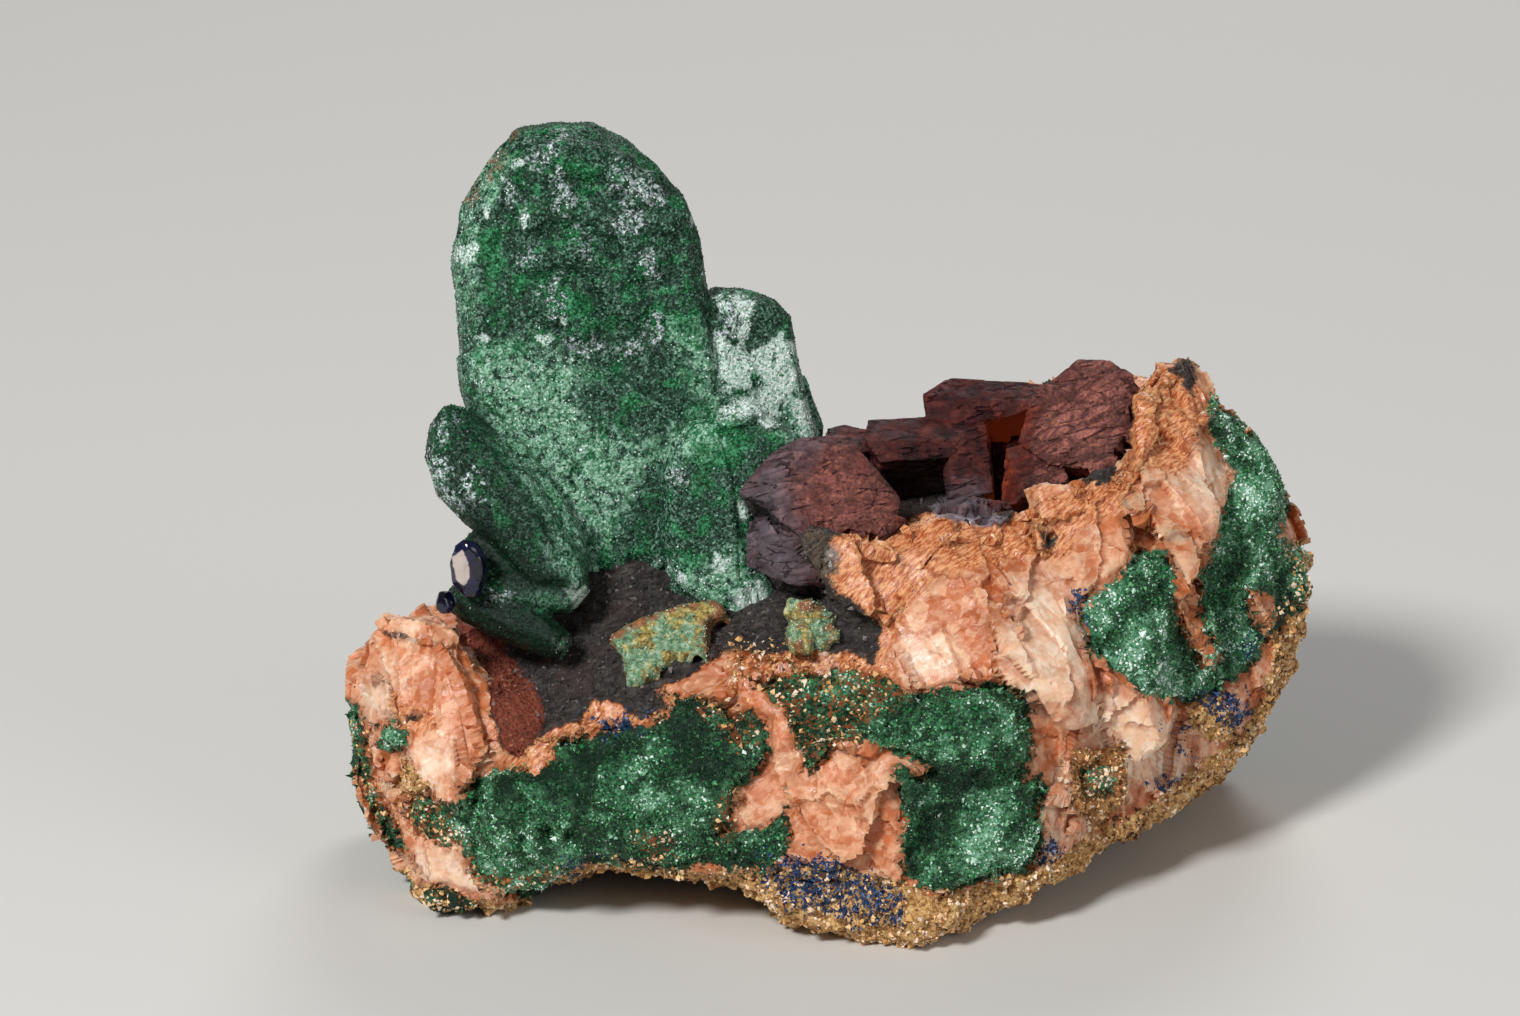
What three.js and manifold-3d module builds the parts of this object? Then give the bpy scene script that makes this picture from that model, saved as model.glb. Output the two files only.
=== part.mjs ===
// Malachite pseudomorph after azurite: a tongue-shaped blade and a fan of smaller blades,
// standing with iron-stained rhombs on a lump of calcite rock. Millimetres, +Z up, front towards -Y.
import * as THREE from "three";
import { ConvexGeometry } from "three/addons/geometries/ConvexGeometry.js";
import { ImprovedNoise } from "three/addons/math/ImprovedNoise.js";
import { mergeVertices } from "three/addons/utils/BufferGeometryUtils.js";
import Module from "manifold-3d";

const wasm = await Module();
wasm.setup();
const { Vector2, Vector3, Matrix4, Euler, MathUtils } = THREE;

// Driving dimensions
const ROCK_WIDTH = 60; // mm, left edge of the rock to its right edge
const ROCK_WIDTH_SEEN = 954; // the same width in units of the display view
const UNIT = ROCK_WIDTH / ROCK_WIDTH_SEEN; // mm per unit of the display view
const GAP = 0.3; // clearance between touching solids
const FLOOR = -23.7; // height of the resting plane below the middle of the display view

// The display view: the specimen is laid out as it is seen from 20 degrees above.
// A place is [x, y, back]: x to the right and y down in view units, back in mm along +Y.
const VIEW_MIDDLE = { x: 760, y: 508 };
const VIEW_TILT = MathUtils.degToRad(20);
const EYE_DISTANCE = 385;
const VIEW_RIGHT = new Vector3(1, 0, 0);
const VIEW_UP = new Vector3(0, Math.sin(VIEW_TILT), Math.cos(VIEW_TILT));
const VIEW_NEAR = new Vector3(0, -Math.cos(VIEW_TILT), Math.sin(VIEW_TILT));
const EYE = VIEW_NEAR.clone().multiplyScalar(EYE_DISTANCE);

// The point that is seen at (x, y) and lies at depth back.
function seen(x, y, back) {
  const onPlane = VIEW_RIGHT.clone()
    .multiplyScalar((x - VIEW_MIDDLE.x) * UNIT)
    .addScaledVector(VIEW_UP, (VIEW_MIDDLE.y - y) * UNIT);
  const share = (back - EYE.y) / (onPlane.y - EYE.y);
  return EYE.clone().lerp(onPlane, share);
}

// Where a point appears in the display view, and the mm that one view unit covers there.
function appears(point) {
  const fromEye = point.clone().sub(EYE);
  const unitThere = (UNIT * -fromEye.dot(VIEW_NEAR)) / EYE_DISTANCE;
  return {
    x: VIEW_MIDDLE.x + fromEye.dot(VIEW_RIGHT) / unitThere,
    y: VIEW_MIDDLE.y - fromEye.dot(VIEW_UP) / unitThere,
    unit: unitThere,
  };
}

// A frame at a seen place whose z axis points at the viewer, turned by lean, swing and roll degrees.
function facing([x, y, back], { lean = 0, swing = 0, roll = 0 } = {}) {
  const at = seen(x, y, back);
  const turned = new Matrix4().makeRotationFromEuler(
    new Euler(...[lean, swing, roll].map(MathUtils.degToRad), "YXZ"),
  );
  return new Matrix4()
    .makeBasis(VIEW_RIGHT, VIEW_UP, VIEW_NEAR)
    .multiply(turned)
    .setPosition(at);
}

// Solids and geometries
function solidOf(geometry) {
  const bare = geometry.clone();
  bare.deleteAttribute("normal");
  bare.deleteAttribute("uv");
  const merged = mergeVertices(bare, 1e-4);
  return new wasm.Manifold(
    new wasm.Mesh({
      numProp: 3,
      vertProperties: merged.attributes.position.array,
      triVerts: new Uint32Array(merged.index.array),
    }),
  );
}

function geometryOf(solid) {
  const mesh = solid.getMesh();
  const geometry = new THREE.BufferGeometry();
  geometry.setAttribute("position", new THREE.BufferAttribute(mesh.vertProperties, 3));
  geometry.setIndex(new THREE.BufferAttribute(mesh.triVerts, 1));
  geometry.computeVertexNormals();
  return geometry;
}

const joined = (solids) => solids.reduce((all, one) => all.add(one));

// A tabular crystal: an outline in view units, bevelled all round, facing the viewer, with
// growths on its front face, each [x, y, half width, half height, half depth].
const BEVEL_SLOPE = 0.7; // how far a bevel comes in for each mm of its depth
function plate(outline, { back, thickness, bevel, growths = [], ...turns }, grow = 0) {
  const middle = outline
    .reduce((sum, [x, y]) => sum.add(new Vector2(x, y)), new Vector2())
    .divideScalar(outline.length);
  const { unit } = appears(seen(middle.x, middle.y, back));
  const frame = facing([middle.x, middle.y, back], turns);
  const inFrame = ([x, y]) => new Vector2((x - middle.x) * unit, (middle.y - y) * unit);
  const corners = outline.map(inFrame);
  const geometry = new THREE.ExtrudeGeometry(new THREE.Shape(corners), {
    depth: thickness - 2 * bevel,
    bevelThickness: bevel + grow,
    bevelSize: BEVEL_SLOPE * bevel + grow,
    bevelOffset: -BEVEL_SLOPE * bevel,
    bevelSegments: 1,
  });
  geometry.translate(0, 0, bevel - thickness / 2);
  const knobs = growths.map(([x, y, ...halfSizes]) => {
    const at = inFrame([x, y]);
    const knob = new THREE.IcosahedronGeometry(1, 0);
    knob.scale(...halfSizes.map((half) => half + grow));
    knob.translate(at.x, at.y, thickness / 2);
    return solidOf(knob.applyMatrix4(frame));
  });
  return joined([solidOf(geometry.applyMatrix4(frame)), ...knobs]);
}

// A blocky crystal: the hull of its corners, each a seen place.
const CORNER_GROWTH = 1.5; // mm that a corner moves out for each mm that its faces do
function block(corners, grow = 0) {
  const points = corners.map((corner) => seen(...corner));
  const middle = points
    .reduce((sum, point) => sum.add(point), new Vector3())
    .divideScalar(points.length);
  points.forEach((point) => {
    const outward = point.clone().sub(middle).normalize();
    point.addScaledVector(outward, grow * CORNER_GROWTH);
  });
  return solidOf(new ConvexGeometry(points));
}

// A rounded lump: half sizes in mm to the right, up and towards the viewer.
function lump(place, halfSizes, turns = {}, grow = 0, detail = 1) {
  const geometry = new THREE.IcosahedronGeometry(1, detail);
  geometry.scale(...halfSizes.map((half) => half + grow));
  return solidOf(geometry.applyMatrix4(facing(place, turns)));
}

// The rock. Its surface is where the largest of five fields is zero: the front, top, back and
// underside, each drawn through a few chosen points, and the outline in the display view.
const ROCK_OUTLINE = [
  [352, 690], [368, 658], [388, 625], [400, 640], [440, 617], [455, 612], [520, 592],
  [600, 560], [700, 520], [790, 455], [835, 436], [880, 426], [930, 400], [1050, 390],
  [1085, 363], [1110, 360], [1135, 373], [1165, 370], [1190, 357], [1201, 385],
  [1215, 412], [1240, 424], [1266, 452], [1282, 482], [1285, 515], [1300, 545],
  [1305, 580], [1300, 640], [1285, 665], [1270, 700], [1252, 732], [1216, 773],
  [1184, 795], [1157, 818], [1128, 833], [1098, 854], [1050, 888], [1000, 904],
  [975, 915], [940, 946], [915, 953], [880, 946], [830, 927], [790, 920], [755, 892],
  [748, 880], [700, 876], [640, 872], [602, 858], [584, 866], [560, 890], [543, 906],
  [538, 923], [500, 916], [440, 917], [424, 903], [415, 880], [395, 850], [370, 800],
  [356, 750],
];
const FRONT_PLACES = [
  [356, 700, -2], [385, 660, -5], [400, 700, -7], [450, 690, -9], [490, 745, -10.5],
  [430, 780, -10], [375, 780, -4], [425, 860, -9.5], [480, 905, -10.5], [520, 835, -12.5],
  [560, 780, -13.2], [640, 735, -12.5], [650, 810, -13.8], [720, 770, -13], [760, 850, -13.2],
  [655, 865, -13], [800, 780, -13.5], [850, 800, -14.5], [880, 900, -15], [915, 940, -15.2],
  [800, 915, -14.5], [780, 690, -11.5], [900, 600, -8], [955, 565, -7.5], [900, 680, -10.5],
  [1000, 640, -10], [1050, 700, -10.5], [940, 750, -14.2], [1000, 780, -13], [1000, 870, -12.6],
  [1110, 800, -8], [1135, 720, -7.5], [1085, 610, -6.5], [1060, 525, -5], [1150, 460, -1.5],
  [1195, 400, 2.5], [1120, 410, 0.5], [1190, 520, -1.5], [1150, 640, -4.5], [1200, 710, -3],
  [1250, 620, 1], [1250, 500, 4], [1290, 585, 5], [1265, 700, 1.5], [1180, 780, -3.5],
  [1230, 450, 5], [1270, 470, 8],
];
const TOP_PLACES = [
  [388, 622, -4], [372, 660, -3.5], [420, 630, -2], [448, 622, -1], [470, 652, -4],
  [490, 698, -7.5], [500, 748, -10], [515, 700, -4], [532, 738, -8.5], [562, 690, -7.5],
  [560, 645, -4.5], [598, 572, 0], [650, 560, 0.8], [700, 590, -1.8], [620, 600, -2.6],
  [680, 620, -4.3], [640, 640, -5.9], [700, 650, -6.8], [620, 690, -9.4], [600, 712, -11],
  [650, 703, -11], [700, 690, -10.5], [740, 664, -10], [800, 650, -9], [850, 652, -9.5],
  [780, 600, -3.5], [830, 612, -5.5], [850, 575, -6], [900, 562, -7], [930, 524, -6.5],
  [1000, 530, -6.5], [1060, 494, -4], [1100, 474, -2], [1137, 446, 0.5], [1142, 392, 3],
  [1108, 370, 5], [1150, 366, 6], [1190, 346, 7], [1212, 400, 9], [1250, 436, 10],
  [1277, 480, 9],
];
// Hollow behind the calcite edge and the hidden back rim: [x, y, z] in mm.
const TOP_POINTS = [
  [9, 3, -6.5], [14, 4, -5], [18, 6, -3], [3, 5, -4], [8, 14, 1], [16, 15, 2.5],
  [24, 14, 4.5], [30, 13, 2], [-23, 6, -7.5], [-15, 9, -5], [-6, 11, -4], [2, 13, -2],
];
// The back, as [x, z, y] in mm.
const BACK_POINTS = [
  [-28, -12, 4], [-24, -20, 7], [-20, -8, 9], [-10, -10, 13.5], [-12, -21, 11], [2, -6, 16],
  [2, -21, 15], [12, 0, 18.5], [14, -20, 17], [24, 4, 17], [26, -12, 18], [31, -4, 14],
  [32, -14, 12], [6, -13, 18], [19, -9, 20],
];
// The underside, as [x, y, height above the resting plane] in mm: feet below 0, hollows above.
const UNDER_POINTS = [
  [-18, -9, -1], [3, -13.5, -1], [8, -11, -1], [-9, 9, -1], [14, 14, -1], [20, 9, -0.5],
  [-6, -9, 1.8], [-4, 1, 2.2], [10, 2, 1.8], [-20, 1, 1.5], [3, 12, 1.6], [18, -2, 2.4],
];
const ROCK_CENTRE = new Vector3(1, 2, -17);
const ROCK_REACH = 60; // mm, beyond any surface of the rock
const ROCK_DETAIL = 14; // each edge of the icosahedron is parted into this many and one
const EDGE_BLEND = 0.35; // mm, how far two faces of the rock round into each other
const SEARCH_STEP = 0.5; // mm, by which the search for the surface moves out
const SEARCH_HALVINGS = 12; // after which it is found to less than a thousandth of a mm
const UNDER_BLOCK = { width: 200, height: 50 }; // mm, takes away what lies below the floor
const noise = new ImprovedNoise();

// A surface through scattered points [a, b, value], level near each of them.
function throughPoints(points) {
  const softness = 1.2; // mm squared, rounds the surface off at each point
  return (a, b) => {
    let sum = 0;
    let weights = 0;
    for (const [pa, pb, value] of points) {
      const distance = (a - pa) ** 2 + (b - pb) ** 2 + softness;
      const weight = 1 / distance ** 2;
      sum += weight * value;
      weights += weight;
    }
    return sum / weights;
  };
}

const frontAt = throughPoints(
  FRONT_PLACES.map((place) => seen(...place)).map((p) => [p.x, p.z, p.y]),
);
const topAt = throughPoints([
  ...TOP_PLACES.map((place) => seen(...place)).map((p) => [p.x, p.y, p.z]),
  ...TOP_POINTS,
]);
const backAt = throughPoints(BACK_POINTS);
const underAt = throughPoints(UNDER_POINTS);

// Signed distance in view units from a point to the rock's outline, below 0 inside.
function outsideOutline(x, y) {
  let nearest = Infinity;
  let inside = false;
  ROCK_OUTLINE.forEach(([ax, ay], i) => {
    const [bx, by] = ROCK_OUTLINE[(i + 1) % ROCK_OUTLINE.length];
    const along = ((x - ax) * (bx - ax) + (y - ay) * (by - ay)) / ((bx - ax) ** 2 + (by - ay) ** 2);
    const share = MathUtils.clamp(along, 0, 1);
    nearest = Math.min(nearest, Math.hypot(x - ax - share * (bx - ax), y - ay - share * (by - ay)));
    if (ay > y !== by > y && x < ax + ((y - ay) * (bx - ax)) / (by - ay)) inside = !inside;
  });
  return inside ? -nearest : nearest;
}

function softMax(values, blend) {
  const most = Math.max(...values);
  const sum = values.reduce((all, value) => all + Math.exp((value - most) / blend), 0);
  return most + blend * Math.log(sum);
}

// Bumps of the broken rock, in mm, as noise of two sizes.
const BUMPS = [
  { size: 5.5, height: 1.1, shift: 1.3 },
  { size: 2.4, height: 0.45, shift: 4.7 },
];
const bumps = ({ x, y, z }) =>
  BUMPS.reduce(
    (sum, { size, height, shift }) =>
      sum + height * noise.noise(x / size + shift, y / size + shift, z / size),
    0,
  );

function rockField(point) {
  const view = appears(point);
  const rough = bumps(point);
  const faces = [
    frontAt(point.x, point.z) - point.y + rough,
    point.z - topAt(point.x, point.y) + rough,
    point.y - backAt(point.x, point.z) + rough,
    FLOOR + underAt(point.x, point.y) - point.z + 0.5 * rough,
    outsideOutline(view.x, view.y) * view.unit - EDGE_BLEND / 2,
  ];
  return softMax(faces, EDGE_BLEND);
}

// Rounded crusts of malachite that swell out of the rock's faces: place, half sizes, turns.
const CRUST_LUMPS = [
  [[600, 800, -11.6], [8, 4.4, 2.4], { lean: 8, roll: 6 }],
  [[700, 775, -12.2], [4.6, 4, 2], { lean: 6 }],
  [[962, 738, -12.6], [4.3, 3.1, 2.4], { lean: 4, roll: 10 }],
  [[968, 834, -12], [4.7, 3.5, 2.4], { lean: -4 }],
  [[1122, 640, -5.4], [2.8, 4.6, 1.8], { roll: -14 }],
  [[1242, 520, 5], [2.8, 5.8, 2.2], { swing: 30 }],
  [[376, 768, -3.2], [1.5, 4, 1.8], { swing: -30 }],
  [[915, 905, -14], [3, 2.2, 2], {}],
  [[470, 885, -9.4], [3.4, 1.8, 1.8], {}],
];
// Cleaved calcite that stands out of the rock, each the corners of its seen face with the
// depth to which it reaches back into the rock.
const CALCITE_BLOCKS = [
  {
    into: 4,
    face: [
      [1140, 446, -0.4], [1143, 392, 2.2], [1166, 372, 5], [1190, 356, 6.2], [1200, 384, 6],
      [1232, 478, 3], [1204, 520, 0], [1160, 540, -2.6], [1128, 500, -2.4],
    ],
  },
  {
    into: 3,
    face: [
      [1163, 548, -3.4], [1180, 546, -3], [1204, 600, -2.8], [1222, 642, -2.6],
      [1218, 664, -2.8], [1198, 658, -3.6], [1176, 612, -4],
    ],
  },
  {
    into: 3,
    face: [
      [796, 748, -14.2], [850, 738, -15.2], [914, 748, -15.2], [926, 772, -14.8],
      [904, 806, -15.4], [906, 872, -15], [860, 862, -15.2], [796, 858, -14.4], [790, 800, -14.4],
    ],
  },
  {
    into: 4,
    face: [
      [362, 694, -3.2], [388, 628, -4.6], [420, 634, -5.8], [446, 636, -6.8], [468, 672, -8.4],
      [496, 752, -10.8], [462, 800, -11.4], [424, 786, -10], [392, 740, -8],
    ],
  },
  {
    into: 3,
    face: [
      [1036, 790, -12.4], [1080, 784, -10.8], [1084, 836, -10.6], [1044, 862, -12.2],
    ],
  },
  {
    into: 6,
    face: [
      [801, 552, -8.4], [806, 526, -8], [836, 530, -8], [884, 551, -8], [908, 547, -7.4],
      [914, 580, -8.4], [884, 614, -9.2], [852, 606, -9], [826, 582, -8.6],
    ],
  },
];

// A cleaved block between its seen face and the same face moved back.
function cleavage({ face, into }, grow) {
  return block([...face, ...face.map(([x, y, back]) => [x, y, back + into])], grow);
}

// The rock as a sphere whose vertices are moved out to the rock's surface, joined with what
// swells or stands out of it, and set on its feet.
function rock(grow = 0) {
  const sphere = new THREE.IcosahedronGeometry(1, ROCK_DETAIL);
  sphere.deleteAttribute("normal");
  sphere.deleteAttribute("uv");
  const geometry = mergeVertices(sphere, 1e-5);
  const position = geometry.attributes.position;
  const direction = new Vector3();
  const point = new Vector3();
  for (let i = 0; i < position.count; i++) {
    direction.fromBufferAttribute(position, i).normalize();
    const at = (reach) => point.copy(ROCK_CENTRE).addScaledVector(direction, reach);
    let outer = 1;
    while (outer < ROCK_REACH && rockField(at(outer)) < grow) outer += SEARCH_STEP;
    let inner = outer - SEARCH_STEP;
    for (let step = 0; step < SEARCH_HALVINGS; step++) {
      const half = (inner + outer) / 2;
      if (rockField(at(half)) < grow) inner = half;
      else outer = half;
    }
    at(outer);
    position.setXYZ(i, point.x, point.y, point.z);
  }
  const { width, height } = UNDER_BLOCK;
  const under = new THREE.BoxGeometry(width, width, height).translate(0, 0, FLOOR - height / 2);
  return joined([
    solidOf(geometry),
    ...CRUST_LUMPS.map(([place, sizes, turns]) => lump(place, sizes, turns, grow)),
    ...CALCITE_BLOCKS.map((calcite) => cleavage(calcite, grow)),
  ]).subtract(solidOf(under));
}

// The big tongue-shaped blade and the blades grown into it.
const TONGUE = [
  [515, 129], [548, 123], [592, 124], [622, 138], [652, 162], [680, 192], [696, 230],
  [705, 275], [714, 330], [726, 390], [738, 440], [745, 520], [735, 570], [700, 610],
  [600, 612], [560, 590], [530, 540], [505, 490], [480, 440], [464, 390], [457, 320],
  [451, 262], [456, 212], [470, 184], [492, 150],
];
const RIGHT_BLADE = [
  [700, 300], [714, 289], [742, 288], [768, 297], [786, 314], [791, 342], [801, 385],
  [816, 432], [820, 470], [760, 500], [700, 480],
];
const THIN_BLADE = [[772, 372], [803, 373], [812, 396], [825, 426], [822, 460], [776, 460]];
const LOW_BLADE = [
  [668, 470], [682, 440], [716, 416], [750, 402], [802, 436], [788, 452], [765, 480],
  [744, 502], [750, 540], [756, 580], [740, 612], [705, 600], [680, 578], [668, 530],
];
function mainBlades(grow = 0) {
  return joined([
    plate(
      TONGUE,
      { back: 5.6, thickness: 6, bevel: 1.5, lean: 8, swing: 8, growths: crownKnobs() },
      grow,
    ),
    plate(RIGHT_BLADE, { back: 7, thickness: 5, bevel: 1, lean: 6, swing: 16 }, grow),
    plate(THIN_BLADE, { back: 8.8, thickness: 1.8, bevel: 0.4, lean: 6, swing: 20 }, grow),
    plate(LOW_BLADE, { back: 0.4, thickness: 4, bevel: 0.8, lean: 6, swing: -4 }, grow),
    lump([752, 590, -1.6], [1.1, 1.2, 1], {}, grow),
  ]);
}

// Overlapping growth knobs that roughen the tongue's upper half, in arcs that follow its crown.
const CROWN = { x: 560, y: 330, narrowing: 0.78 };
const KNOB_RISE = 0.75; // mm, how far a knob stands out
const KNOB_SWAY = 0.25; // share by which the knobs' widths differ
function crownKnobs() {
  const rows = [
    { radius: 175, from: -8, to: 52, count: 5, size: 1.6 },
    { radius: 130, from: -24, to: 62, count: 6, size: 1.6 },
    { radius: 82, from: -30, to: 80, count: 5, size: 1.4 },
    { radius: 30, from: -60, to: 90, count: 3, size: 1.3 },
  ];
  return rows.flatMap(({ radius, from, to, count, size }) =>
    Array.from({ length: count }, (_, i) => {
      const angle = MathUtils.degToRad(from + ((to - from) * (i + 0.5)) / count);
      const x = CROWN.x + radius * CROWN.narrowing * Math.sin(angle);
      const y = CROWN.y - radius * Math.cos(angle);
      const width = size * (1 + KNOB_SWAY * Math.sin(radius * i));
      return [x, y, width, size, KNOB_RISE];
    }),
  );
}

// The fan of four small blades at the left, tips free in the air.
const FAN_UPPER = [
  [431, 424], [447, 404], [466, 408], [495, 432], [534, 472], [569, 532], [588, 566],
  [588, 588], [540, 592], [522, 576], [492, 543], [466, 524], [437, 494], [426, 456],
];
const FAN_BACK = [
  [471, 402], [484, 391], [495, 402], [530, 450], [562, 492], [582, 530], [594, 566],
  [570, 570], [530, 500], [480, 430],
];
const FAN_MIDDLE = [
  [456, 556], [468, 534], [484, 532], [514, 554], [546, 574], [592, 588],
  [572, 612], [540, 616], [505, 608], [468, 594],
];
const FAN_LOWER = [
  [440, 603], [452, 586], [475, 590], [512, 602], [548, 614], [576, 638],
  [562, 661], [532, 652], [498, 638], [458, 618],
];
function fanBlades(grow = 0) {
  return joined([
    plate(FAN_UPPER, { back: -2.2, thickness: 4.4, bevel: 1.2, lean: 4, swing: -14 }, grow),
    plate(FAN_BACK, { back: -0.4, thickness: 2.4, bevel: 0.6, swing: -10 }, grow),
    plate(FAN_MIDDLE, { back: -3.6, thickness: 3.4, bevel: 0.8, lean: -10, swing: -8 }, grow),
    plate(FAN_LOWER, { back: -4.6, thickness: 3.6, bevel: 0.9, lean: -16, swing: -6 }, grow),
  ]);
}

// Rhombs stained by iron, in three intergrown groups.
const FRONT_RHOMBS = [
  [
    [800, 437, -1.5], [829, 434, -1], [856, 446, -1.8], [878, 471, -3], [900, 497, -4],
    [898, 514, -4.6], [872, 536, -6], [815, 545, -7], [776, 503, -5.4], [739, 491, -5],
    [748, 478, -3.8], [776, 449, -2], [800, 441, 3],
    [860, 452, 2.5], [898, 512, 0.5], [800, 565, -3], [764, 540, -2.4], [868, 556, -2.6],
    [756, 486, 0], [778, 527, -4.6],
  ],
  [
    [746, 538, -5.6], [776, 534, -7], [801, 541, -7.6], [819, 560, -7.6], [821, 583, -7.2],
    [796, 586, -7], [768, 576, -6.2], [746, 566, -5], [752, 530, -2], [812, 590, -3], [800, 530, -2],
  ],
  [
    [748, 522, -5.2], [768, 519, -6.2], [779, 536, -6.6], [768, 548, -6.2], [746, 541, -5.2],
    [756, 520, -2], [776, 550, -2],
  ],
  [
    [856, 520, -6.2], [896, 515, -5.4], [914, 522, -4.4], [906, 546, -4.8], [880, 556, -6.2],
    [850, 550, -6.6], [890, 520, -1], [870, 560, -3],
  ],
];
const BACK_RHOMBS = [
  [
    [868, 420, 8], [926, 416, 9], [985, 423, 8], [990, 440, 6], [948, 458, 5.2], [880, 462, 5],
    [864, 440, 5.6], [870, 424, 13], [985, 424, 13], [940, 500, 9], [880, 500, 9],
  ],
  [
    [966, 428, 5], [986, 423, 5.6], [993, 494, 1.8], [947, 500, 1.6], [942, 470, 3.2],
    [990, 430, 10], [995, 500, 7], [950, 500, 8],
  ],
  [
    [923, 394, 9.4], [948, 378, 11], [1050, 384, 10.6], [1046, 402, 8.6], [1000, 420, 8],
    [926, 420, 8.4], [926, 396, 15], [1050, 386, 15.5], [1040, 450, 13], [930, 450, 13],
  ],
  [
    [824, 428, 9], [845, 425, 9.5], [870, 430, 8.4], [872, 452, 6], [850, 450, 5],
    [830, 440, 6.4], [840, 430, 13], [870, 440, 13], [850, 480, 9],
  ],
];
const SIDE_RHOMBS = [
  [
    [1032, 396, 4.6], [1078, 360, 6.6], [1110, 360, 6.4], [1134, 376, 4.8], [1136, 420, 2],
    [1100, 470, -0.6], [1047, 464, 0.8], [1017, 442, 2.6], [1040, 396, 11], [1110, 364, 12],
    [1130, 420, 10], [1060, 480, 8], [1110, 500, 5],
  ],
  [
    [1005, 448, 3.6], [1046, 440, 3.4], [1068, 476, 0.2], [1064, 508, -2.6], [1030, 520, -3.4],
    [1000, 500, 0.8], [1020, 450, 9], [1080, 500, 6], [1030, 530, 2],
  ],
  [
    [938, 504, -3], [968, 495, -2.6], [988, 501, -3], [1006, 514, -4.4], [998, 529, -5.4],
    [966, 520, -5], [945, 512, -4.4], [960, 510, 1], [1030, 505, 0], [1020, 530, -1],
  ],
];
const rhombs = (blocks, grow = 0) => joined(blocks.map((corners) => block(corners, grow)));

// Two azurite crystals left at the tips of the fan, a malachite flake on the floor of the
// hollow and a small group of malachite nodules at its rim.
const AZURITE_TIP = [
  [464, 538], [479, 544], [487, 560], [486, 584], [479, 599], [465, 597], [452, 585],
  [450, 564], [455, 546],
];
const AZURITE_TIP_DEPTHS = [-7.2, -6.8, -5.2]; // its cut face, its widest place and its root
const AZURITE_TIP_WIDTHS = [0.72, 1, 0.9];
function azuriteTip(grow = 0) {
  const [middleX, middleY] = [468, 568];
  const rings = AZURITE_TIP_DEPTHS.map((back, i) =>
    AZURITE_TIP.map(([x, y]) => [
      middleX + (x - middleX) * AZURITE_TIP_WIDTHS[i],
      middleY + (y - middleY) * AZURITE_TIP_WIDTHS[i],
      back,
    ]),
  );
  return block(rings.flat(), grow);
}
const azuriteBud = (grow = 0) => lump([445, 603, -6.4], [0.72, 0.85, 0.75], {}, grow, 0);
const FLAKE = [
  [611, 643], [632, 624], [664, 609], [702, 599], [724, 601], [726, 614], [706, 627],
  [706, 648], [712, 664], [690, 673], [662, 684], [642, 701], [626, 694], [622, 664],
];
const flake = (grow = 0) =>
  plate(FLAKE, { back: -6.4, thickness: 2.2, bevel: 0.4, lean: -38 }, grow);
const NODULES = [
  [[803, 612, -7], [1.1, 0.9, 1]], [[822, 632, -8], [1.2, 1.1, 1.1]], [[800, 640, -8.6], [0.9, 1, 1]],
];
const nodules = (grow = 0) =>
  joined(NODULES.map(([place, sizes]) => lump(place, sizes, {}, grow)));

// Each crystal ends a gap short of the rock and of the crystals that it leans on.
const crust = rock(GAP);
const clear = (solid, ...neighbours) =>
  neighbours.reduce((left, neighbour) => left.subtract(neighbour), solid.subtract(crust));

const finishes = {
  rock: { color: 0xe3a07c, roughness: 0.6, metalness: 0 },
  malachite: { color: 0x1f6b45, roughness: 0.5, metalness: 0 },
  ironStain: { color: 0x5a2a22, roughness: 0.7, metalness: 0 },
  azurite: { color: 0x0b0d2a, roughness: 0.15, metalness: 0 },
};

const specimen = new THREE.Group();

function addNode(name, solid, finish) {
  const geometry = geometryOf(solid);
  geometry.computeBoundingBox();
  const middle = geometry.boundingBox.getCenter(new Vector3());
  geometry.translate(-middle.x, -middle.y, -middle.z);
  const mesh = new THREE.Mesh(geometry, new THREE.MeshStandardMaterial(finishes[finish]));
  mesh.name = name;
  mesh.position.copy(middle);
  specimen.add(mesh);
}

addNode("calcite_matrix", rock(), "rock");
addNode("malachite_main_blades", clear(mainBlades()), "malachite");
addNode("malachite_fan_blades", clear(fanBlades(), mainBlades(GAP)), "malachite");
addNode("azurite_tip", clear(azuriteTip(), fanBlades(GAP)), "azurite");
addNode("azurite_bud", clear(azuriteBud(), fanBlades(GAP), azuriteTip(GAP)), "azurite");
addNode("rhombs_front", clear(rhombs(FRONT_RHOMBS), mainBlades(GAP)), "ironStain");
addNode("rhombs_back", clear(rhombs(BACK_RHOMBS), mainBlades(GAP)), "ironStain");
addNode(
  "rhombs_side",
  clear(rhombs(SIDE_RHOMBS), rhombs(BACK_RHOMBS, GAP), rhombs(FRONT_RHOMBS, GAP)),
  "ironStain",
);
addNode("malachite_flake", clear(flake(), mainBlades(GAP)), "malachite");
addNode("malachite_nodules", clear(nodules(), rhombs(FRONT_RHOMBS, GAP)), "malachite");

// The origin is at the middle of the bounding box, on the resting plane.
const bounds = new THREE.Box3().setFromObject(specimen);
const centre = bounds.getCenter(new Vector3());
specimen.position.set(-centre.x, -centre.y, -bounds.min.z);

export default specimen;
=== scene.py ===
import math
from itertools import product

import bpy
import numpy as np
from bpy.props import FloatProperty, FloatVectorProperty, IntProperty, PointerProperty
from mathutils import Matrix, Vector
from mathutils.bvhtree import BVHTree


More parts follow.
